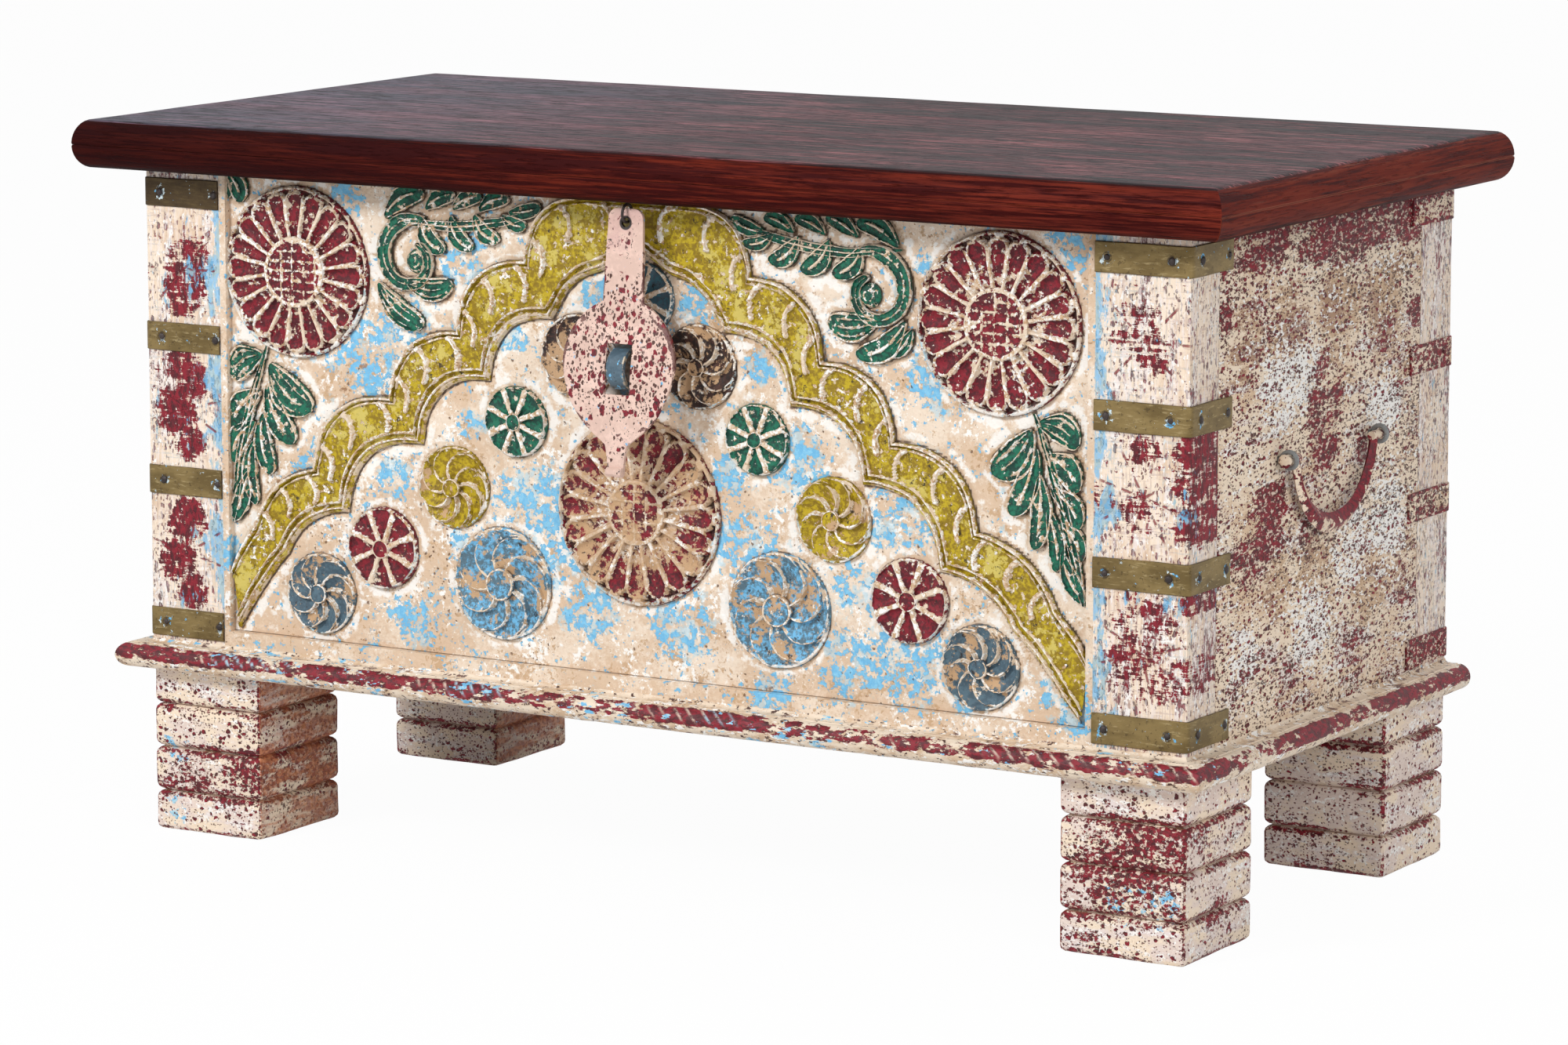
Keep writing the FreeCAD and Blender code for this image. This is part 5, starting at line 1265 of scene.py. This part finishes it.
def lidStrip(side):
    profile = [(inset, 2 * lid["seam"] - z - lid["gap"]) for inset, z in noseProfile(lid["seam"] - lid["under"])]
    profile += [(lid["strip"], lid["under"]), (lid["strip"], lid["seam"] - lid["gap"])]
    long = side in ("front", "back")
    shares = [-1.0, -0.997] + list(np.linspace(-0.97, 0.97, 58 if long else 32)) + [0.997, 1.0]
    rows, marks, seams = [], [], []
    for inset, z in profile:
        halfX, halfY = lid["x"] - inset, lid["y"] - inset
        reach = (halfX if long else halfY) - lid["mitre"]
        row = []
        for s in shares:
            row.append({"front": (s * reach, -halfY, z), "back": (-s * reach, halfY, z),
                        "left": (-halfX, -s * reach, z), "right": (halfX, s * reach, z)}[side])
        rows.append(row)
        marks.append([0.4 * (1 - min(1, inset / 0.012))] * len(row))
        seams.append([1.0] + [float(z > lid["seam"] - 0.0008)] * (len(row) - 2) + [1.0])
    return closeUp(sheet("lidStrip", rows, {"edge": marks, "low": seams}, True, False))


for side in ("front", "back", "left", "right"):
    finish = paint["lidEdgeX"] if side in ("front", "back") else paint["lidEdgeY"]
    node = "lid_edge_" + side
    keep("lidEdge_" + side, within(worn(lidStrip(side), 0.0002, 20, 6.0), node), finish, "lid", (node,), 50)
print("lid made")


# base moulding, swept from its profile, with tool nicks along the nose
moulding = {"reach": 0.0195, "top": 0.1386, "under": 0.1184, "lip": 0.0100, "cove": 0.0025, "turn": 0.1274,
            "inset": 0.0085, "nick": 0.0006, "nickPitch": 5.5}


def mouldingProfile():
    m = moulding
    points = [(-0.0005, m["top"])]
    for k in range(4):
        a = math.pi / 2 * k / 3
        points.append((m["cove"] * (1 - math.cos(a)), m["top"] - m["cove"] * math.sin(a)))
    points += [(m["lip"] - 0.0006, m["top"] - m["cove"]), (m["lip"], m["top"] - m["cove"] - 0.0006)]
    for k in range(1, 15):
        a = math.pi / 2 - math.pi * k / 14
        wide = (m["reach"] - m["lip"]) if a > 0 else m["inset"]
        tall = (m["top"] - m["cove"] - m["turn"]) if a > 0 else (m["turn"] - m["under"])
        base = m["reach"] - wide
        points.append((base + wide * math.cos(a), m["turn"] + tall * math.sin(a)))
    points.append((-0.0005, m["under"]))
    return points


def mouldingRun(side):
    profile = mouldingProfile()
    halfX, front, back = chest["x"], chest["front"], chest["back"]
    rows, ridges, nicks = [], [], []
    span = 430 if side == "front" else 210
    for out, z in profile:
        row, ridgeRow, nickRow = [], [], []
        for k in range(span + 1):
            s = k / span
            if side == "front":
                x = (2 * s - 1) * (halfX + out)
                at = (x, front - out, z)
            else:
                hand = 1 if side == "right" else -1
                y = (front - out) + (back - front + out) * s
                at = (hand * (halfX + out), y, z)
            onNose = ease(out, 0.010, 0.0165)
            phase = (at[0] + at[1]) * 1000 / moulding["nickPitch"] + (z - 0.127) * 120
            place = float(ease(noise.noise(Vector((at[0] * 11, 3.0, 0))), -0.05, 0.2)) if side == "front" else 0.0
            nick = ease(math.cos(phase * math.pi), 0.82, 0.97) * onNose * place * float(ease(z, 0.1262, 0.130))
            dent = float(nick) * moulding["nick"]
            shift = Vector((0, dent, 0)) if side == "front" else Vector((-dent if side == "right" else dent, 0, 0))
            row.append(tuple(Vector(at) + shift))
            ridgeRow.append(float(ease(out, 0.011, 0.0150)) * float(ease(z, 0.1235, 0.1265)))
            nickRow.append(float(nick))
        rows.append(row)
        ridges.append(ridgeRow)
        nicks.append(nickRow)
    return closeUp(sheet("moulding", rows, {"ridge": ridges, "low": nicks}, True, False))


for side in ("front", "left", "right"):
    node = "moulding_" + side
    keep(node + "_look", worn(mouldingRun(side), 0.00025, 60, 5.0), paint["moulding"], "chest", (node,), 40)
print("moulding made")


# feet: four bands with rounded edges, cut round by grooves
feet = {"height": 0.1184, "groove": 0.0055, "corner": 0.0012, "wear": 0.0005, "bands": (0.236, 0.269, 0.265, 0.230)}


def footMesh(low, high, seed):
    halfX, halfY = (high.x - low.x) / 2, (high.y - low.y) / 2
    cx, cy = (high.x + low.x) / 2, (high.y + low.y) / 2
    levels, z = [(0.0022, 0.0), (0.0004, 0.0018), (0.0, 0.004)], 0.0
    groove = feet["groove"]
    for k, share in enumerate(feet["bands"]):
        topZ = z + share * feet["height"]
        if k:
            for a in (0.15, 0.4, 0.7, 1.0):
                turn = a * math.pi / 2
                levels.append((groove * (1 - math.sin(turn)), z + groove * (1 - math.cos(turn)) * 0.9 + 0.0001))
        for mid in (0.35, 0.65):
            levels.append((0.0, z + (topZ - z) * mid))
        if k < 3:
            for a in (1.0, 0.7, 0.4, 0.15):
                turn = a * math.pi / 2
                levels.append((groove * (1 - math.sin(turn)), topZ - groove * (1 - math.cos(turn)) * 0.9 - 0.0001))
        z = topZ
    levels.append((0.0, feet["height"]))
    rows, lows, edges, inners = [], [], [], []
    shares = [0.0, 0.012, 0.03] + list(np.linspace(0.1, 0.9, 9)) + [0.97, 0.988]
    # the side that looks to the middle carries the painted shade of the foot paint
    inner = 1 if cx < 0 else 3  # the side that looks to the middle
    for inset, zz in levels:
        x, y = halfX - inset, halfY - inset
        corners = [(-x, -y), (x, -y), (x, y), (-x, y)]
        row, edge, warm = [], [], []
        for k, ((ax, ay), (bx, by)) in enumerate(zip(corners, corners[1:] + corners[:1])):
            for share in shares:
                px, py = ax + (bx - ax) * share, ay + (by - ay) * share
                tuck = feet["corner"] * (1 - min(1.0, min(share, 1 - share) / 0.02)) ** 2 * 0.8
                row.append((cx + px - math.copysign(tuck, px), cy + py - math.copysign(tuck, py), zz))
                edge.append(1.0 if share < 0.02 or share > 0.98 or 0.0001 < inset < groove * 0.55 else 0.0)
                warm.append(float(k == inner and share > 0))
        rows.append(row)
        lows.append([min(1.0, inset / groove)] * len(row))
        edges.append(edge)
        inners.append(warm)
    mesh = closeUp(sheet("foot", rows, {"low": lows, "edge": edges, "rim": inners}, False, True))
    return worn(mesh, feet["wear"], 45, seed)


for k, node in enumerate(("leg_front_left", "leg_front_right", "leg_rear_left", "leg_rear_right")):
    low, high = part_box(node)
    keep(node + "_look", within(footMesh(low, high, 2.0 + k), node), paint["feet"], "chest", (node,), 40)
print("feet made")


# corner straps bent round the posts, a little uneven, and their nails
def nailSpots(node):
    # place and outward direction of each of the CAD node's nails, found as its separate shells
    shape = bmesh.new()
    shape.from_mesh(cad[node].data)
    bmesh.ops.remove_doubles(shape, verts=shape.verts, dist=0.00001)
    left, spots = set(shape.verts), []
    while left:
        todo, shell = [left.pop()], []
        while todo:
            v = todo.pop()
            shell.append(v)
            for w in [e.other_vert(v) for e in v.link_edges]:
                if w in left:
                    left.remove(w)
                    todo.append(w)
        peak = max(shell, key=lambda v: len(v.link_edges))
        rim = [v.co for v in shell if (v.co - peak.co).length > 0.0005]
        middle = sum(rim, Vector()) / len(rim)
        spots.append((middle, (peak.co - middle).normalized()))
    shape.free()
    return sorted(spots, key=lambda s: tuple(round(c, 5) for c in s[0]))


strapNails = nailSpots("strap_nails_front")
strap = {"thick": 0.0015, "bend": 0.0022, "wave": 0.0004, "dent": 0.00025}


def strapMesh(node):
    low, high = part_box(node)
    hand = 1 if low.x > 0 else -1
    front = "front" in node
    cornerX, cornerY = chest["x"] * hand, chest["front" if front else "back"]
    faceEnd = (low.x if hand > 0 else high.x) + (panelShift if front else 0)
    sideEnd = high.y if front else low.y
    turn = 1 if front else -1
    bend = strap["bend"]
    path = [(faceEnd + (cornerX - hand * bend - faceEnd) * share, cornerY, 0, -turn)
            for share in np.linspace(0, 1, 34)]
    for a in (22, 45, 68):
        c, s = math.cos(math.radians(a)), math.sin(math.radians(a))
        path.append((cornerX - hand * bend * (1 - s), cornerY + turn * bend * (1 - c), hand * s, -turn * c))
    path += [(cornerX, cornerY + turn * bend + (sideEnd - cornerY - turn * bend) * share, hand, 0)
             for share in np.linspace(0, 1, 34)]
    rows, edges, chips = [], [], []
    heads = [q for q, _ in strapNails if low.z < q.z < high.z and q.x * hand > 0] if front else []
    for k, (x, y, nx, ny) in enumerate(path):
        lowWave = strap["wave"] * noise.noise(Vector((x * 40, y * 40, low.z * 90)))
        highWave = strap["wave"] * noise.noise(Vector((x * 40 + 9, y * 40, low.z * 90)))
        dent = strap["dent"] * noise.noise(Vector((x * 55, y * 55, low.z * 30)))
        z0, z1 = low.z + 0.0004 + lowWave, high.z - 0.0004 + highWave
        t = strap["thick"] + dent
        row = [(x + nx * out, y + ny * out, z) for z, out in ((z0, 0.0001), (z0, t * 0.7), (z0 + 0.0005, t))]
        row += [(x + nx * t, y + ny * t, z0 + 0.0005 + (z1 - z0 - 0.001) * share)
                for share in np.linspace(0.12, 0.88, 9)]
        row += [(x + nx * out, y + ny * out, z) for z, out in ((z1 - 0.0005, t), (z1, t * 0.7), (z1, 0.0001))]
        rows.append(row)
        end = 1.0 if min(k, len(path) - 1 - k) == 0 else 0.0
        edges.append([1, 1, 0.8] + [end] * 9 + [0.8, 1, 1])
        chips.append([max([1 - float(ease((Vector(q) - head).length, 0.003, 0.0075)) for head in heads] + [0.0])
                      for q in row])
    return closeUp(sheet("strap", rows, {"edge": edges, "chip": chips}, False, True))


for node in sorted(cad):
    if node.startswith("strap_") and "nails" not in node:
        finish = paint["brass"] if "front" in node else paint["paintedBrass"]
        keep(node + "_look", strapMesh(node), finish, "chest", (node,), 30)


# nails: low hammered heads on points that carry their outward direction
def nailTree():
    tree = newTree("nailHeads", [("Points", "Geometry"), ("Radius", "Float"), ("Height", "Float"), ("Seed", "Int"),
                                 ("Finish", "Material")])
    n = Nodes(tree)
    given = n.add("NodeGroupInput")
    ball = n.add("GeometryNodeMeshUVSphere", {}, {"Segments": 12, "Rings": 8, "Radius": 1.0}, "Mesh")
    shape = n.add("ShaderNodeCombineXYZ", {}, {0: given.out("Radius"), 1: given.out("Radius"),
                                               2: given.out("Height")})
    flat = n.add("GeometryNodeTransform", {}, {"Geometry": ball, "Scale": shape})
    outward = n.add("GeometryNodeInputNamedAttribute", {"data_type": "FLOAT_VECTOR"}, {"Name": "outward"})
    aim = n.add("FunctionNodeAlignRotationToVector", {"axis": "Z"}, {"Vector": outward})
    size = n.add("FunctionNodeRandomValue", {"data_type": "FLOAT"}, {2: 0.8, 3: 1.08, "Seed": given.out("Seed")}, 1)
    placed = n.add("GeometryNodeInstanceOnPoints", {}, {"Points": given.out("Points"), "Instance": flat,
                                                        "Rotation": aim, "Scale": size})
    real = n.add("GeometryNodeRealizeInstances", {}, {"Geometry": placed})
    jitter = n.add("ShaderNodeTexNoise", {}, {"Vector": n.add("GeometryNodeInputPosition"), "Scale": 420.0,
                                              "Detail": 1.0}, "Color")
    centred = n.add("ShaderNodeVectorMath", {"operation": "SUBTRACT"}, {0: jitter, 1: (0.5, 0.5, 0.5)})
    moved = n.add("ShaderNodeVectorMath", {"operation": "SCALE"}, {0: centred, "Scale": 0.0009})
    real = n.add("GeometryNodeSetPosition", {}, {"Geometry": real, "Offset": moved})
    real = n.add("GeometryNodeSetMaterial", {}, {"Geometry": real, "Material": given.out("Finish")})
    n.add("NodeGroupOutput", {}, {0: real})
    return tree


nailHeads = nailTree()


def nails(name, node, body, finish, radius=0.0031, height=0.0014):
    spots = nailSpots(node)
    mesh = bpy.data.meshes.new(name)
    mesh.from_pydata([tuple(p) for p, _ in spots], [], [])
    layer = mesh.attributes.new("outward", "FLOAT_VECTOR", "POINT")
    layer.data.foreach_set("vector", [c for _, d in spots for c in d])
    result = madeBy(nailHeads, name, mesh, {"Radius": radius, "Height": height, "Seed": 7, "Finish": finish.material})
    keep(name, closeUp(result), finish, body, (node,))
    print(name, len(spots))


nails("strapNailsFront", "strap_nails_front", "chest", paint["nails"], 0.0026)
nails("strapNailsRear", "strap_nails_rear", "chest", paint["paintedBrass"])
nails("hingeNailsBody", "hinge_body_nails", "chest", paint["hinge"])
nails("hingeNailsLid", "hinge_lid_nails", "lid", paint["hinge"])


# hasp, staple and eyes
def ironPiece(name, node, body, finish, width, cut=0.0, dent=0.00015):
    mesh = markEdges(softened(node, width, cut), 0.5)
    return keep(name, worn(mesh, dent, 90, 4.0), finish, body, (node,), 40)


tongue = {"from": 0.330, "over": 0.025, "slim": 0.26}  # below the disc the tongue is slimmer than its solid
hasp = ironPiece("haspPlate", "hasp", "hasp", paint["hasp"], 0.0006, 0.005, 0.0003)
for v in hasp.data.vertices:
    v.co.x *= 1 - tongue["slim"] * float(ease(tongue["from"] - v.co.z, 0.0, tongue["over"]))
within(hasp.data, "hasp")
staple = ironPiece("padlockStaple", "lock_staple", "chest", paint["staple"], 0.0005, 0.004, 0.0002)
stapleLook = {"share": 0.84, "shift": -0.0010}
for v in staple.data.vertices:
    v.co.x = v.co.x * stapleLook["share"] + stapleLook["shift"]
hingeParts = (("hingeBodyLeaf_", "hinge_body_leaf_", "chest"), ("hingeLidLeaf_", "hinge_lid_leaf_", "lid"),
              ("hingePin_", "hinge_pin_", "chest"))
for side in ("left", "right"):
    for name, node, body in hingeParts:
        ironPiece(name + side, node + side, body, paint["hinge"], 0.0003)

eye = {"y": -0.2060, "z": 0.4668, "ring": 0.0060, "wire": 0.0010, "shankEnd": 0.4880}
ring = [(0, eye["y"] + eye["ring"] * math.sin(a), eye["z"] + eye["ring"] * math.cos(a))
        for a in np.linspace(0, 2 * math.pi, 28, endpoint=False)]
shank = [(0, eye["y"], eye["z"] + eye["ring"]), (0, eye["y"], eye["shankEnd"])]
haspEye = join("haspEye", [tube(ring, eye["wire"], closed=True), tube(shank, eye["wire"])])
keep("haspEye", haspEye, paint["nails"], "lid", ("hasp_eye",))


# end handles: a diamond-section bail that tapers to its pins, in coiled wire eyes
bail = {"x": 0.4190, "y": 0.0093, "z": 0.3145, "span": 0.060, "drop": 0.0505, "wide": 0.0070, "end": 0.00375,
        "thick": 0.0045, "thinEnd": 0.0032, "pin": 0.0030, "pinLength": 0.0170, "knob": 0.0047, "knobLength": 0.0034}


def bailMesh(hand):
    b = bail
    radius = (b["span"] ** 2 + b["drop"] ** 2) / (2 * b["drop"])
    sweep = math.asin(b["span"] / radius)
    centre = Vector((hand * b["x"], b["y"], b["z"] - b["drop"] + radius))
    rows, marks, inward = [], [], []
    for s in np.linspace(-1, 1, 49):
        a = s * sweep
        wide = b["wide"] + (b["end"] - b["wide"]) * abs(s) ** 1.3
        thick = b["thick"] + (b["thinEnd"] - b["thick"]) * abs(s)
        outward = Vector((0, math.sin(a), -math.cos(a)))
        mid = centre + outward * radius
        row, mark, up = [], [], []
        for k in range(12):
            turn = 2 * math.pi * k / 12
            # a diamond with its corners eased
            c, d = math.cos(turn), math.sin(turn)
            softer = 1 / (abs(c) + abs(d)) ** 0.82
            row.append(tuple(mid + outward * (wide * c * softer) + Vector((1, 0, 0)) * (thick * d * softer)))
            mark.append(0.8 if k % 3 == 0 else 0.0)
            up.append(0.5 - 0.5 * c)
        rows.append(row)
        marks.append(mark)
        inward.append(up)
    parts = [closeUp(sheet("bail", rows, {"edge": marks, "ridge": inward}, False, True))]
    for side in (-1, 1):
        y0 = b["y"] + side * (b["span"] - 0.004)
        y1 = b["y"] + side * (b["span"] - b["pin"] + b["pinLength"])
        x, z = hand * b["x"], b["z"]
        parts.append(tube([(x, y0 + (y1 - y0) * k / 8, z) for k in range(9)], b["pin"], 12))
        knobPath, knobRadii = [], []
        for k in range(7):
            knobPath.append((x, y1 + side * b["knobLength"] * k / 6, z))
            knobRadii.append(b["knob"] * math.sqrt(max(0.18, 1 - ((k - 3) / 3.4) ** 2)))
        parts.append(tube(knobPath, knobRadii, 12))
    return join("bail", parts)


for side, hand in (("left", -1), ("right", 1)):
    node = "handle_" + side
    keep("bail_" + side, worn(bailMesh(hand), 0.00025, 130, 5.0), paint["handle"], node, (node,), 30)


wireEye = {"apart": 0.069, "coil": 0.0054, "pitch": 0.0030, "wire": 0.0015, "shank": 0.0017, "tail": 0.0016,
           "shankEnd": 0.3900, "inside": 0.3896, "tailLength": 0.014}


def wireEyes():
    # two turns of wire round each pin, a shank through the board and two clinched tails inside
    e, parts = wireEye, []
    for hand in (-1, 1):
        for side in (-1, 1):
            x, y, z = hand * bail["x"], bail["y"] + side * e["apart"], bail["z"]
            coil = []
            for k in range(41):
                a = 2 * math.pi * k / 20 + (math.pi if hand > 0 else 0)
                coil.append((x + e["coil"] * math.cos(a), y + side * e["pitch"] * (k / 40 - 0.5),
                             z + e["coil"] * math.sin(a)))
            shank = [(x - hand * e["coil"], y, z), (hand * e["shankEnd"], y, z)]
            tails = [(hand * e["inside"], y, z - e["tailLength"]), (hand * e["inside"], y, z + e["tailLength"])]
            for path, radius in ((coil, e["wire"]), (shank, e["shank"]), (tails, e["tail"])):
                parts.append(tube(path, radius, up=(0, 1, 0)))
    return join("wireEyes", parts)


keep("handleEyes", wireEyes(), paint["eyes"], "chest", ("handle_eyes",))
print("iron work made")


# plain studio: pale floor, white surroundings for the camera and for gloss, soft lamps
studio = {"sky": 0.36, "floor": (0.88, 0.88, 0.88, 1.0), "white": 0.97, "key": 78, "fill": 40, "top": 22,
          "level": -0.0002, "reach": 40}
floorMesh = bpy.data.meshes.new("studioFloor")
floorCorners = ((-1, -1), (1, -1), (1, 1), (-1, 1))
floorMesh.from_pydata([(x * studio["reach"], y * studio["reach"], studio["level"]) for x, y in floorCorners], [],
                      [(0, 1, 2, 3)])
floor = bpy.data.objects.new("studioFloor", floorMesh)
bpy.context.scene.collection.objects.link(floor)


def seenPlainly(n):  # rays that meet plain white: the camera's, mirrored and passed on
    rays = n.add("ShaderNodeLightPath", {}, {}, "Is Camera Ray")
    return rays.most(rays.out("Is Glossy Ray")).most(rays.out("Is Transmission Ray"))


white = bpy.data.materials.new("studioWhite")
white.use_nodes = True
white.node_tree.nodes.clear()
n = Nodes(white.node_tree)
seen = seenPlainly(n)
lit = n.add("ShaderNodeBsdfDiffuse", {}, {"Color": studio["floor"]})
glow = n.add("ShaderNodeEmission", {}, {"Color": (1, 1, 1, 1), "Strength": 1.0})
mixed = n.add("ShaderNodeMixShader", {}, {0: seen * studio["white"], 1: lit, 2: glow})
n.add("ShaderNodeOutputMaterial", {}, {"Surface": mixed})
floorMesh.materials.append(white)

world = bpy.data.worlds.new("studioWorld")
bpy.context.scene.world = world
world.use_nodes = True
world.node_tree.nodes.clear()
n = Nodes(world.node_tree)
seen = seenPlainly(n)
strength = seen * (1.0 - studio["sky"]) + studio["sky"]
background = n.add("ShaderNodeBackground", {}, {"Color": (1, 1, 1, 1), "Strength": strength})
n.add("ShaderNodeOutputWorld", {}, {"Surface": background})


def softLamp(name, place, aim, size, power):
    data = bpy.data.lights.new(name, "AREA")
    data.energy = power
    data.size = size
    lamp = bpy.data.objects.new(name, data)
    bpy.context.scene.collection.objects.link(lamp)
    lamp.location = place
    lamp.rotation_euler = (Vector(aim) - Vector(place)).to_track_quat("-Z", "Y").to_euler()


softLamp("keyLamp", (-1.0, -3.0, 2.3), (0, 0, 0.3), 0.8, studio["key"])
softLamp("fillLamp", (3.2, -1.6, 1.8), (0, 0, 0.3), 2.0, studio["fill"])
softLamp("topLamp", (0.4, 1.4, 3.2), (0, 0, 0.4), 1.6, studio["top"])
print("studio set")
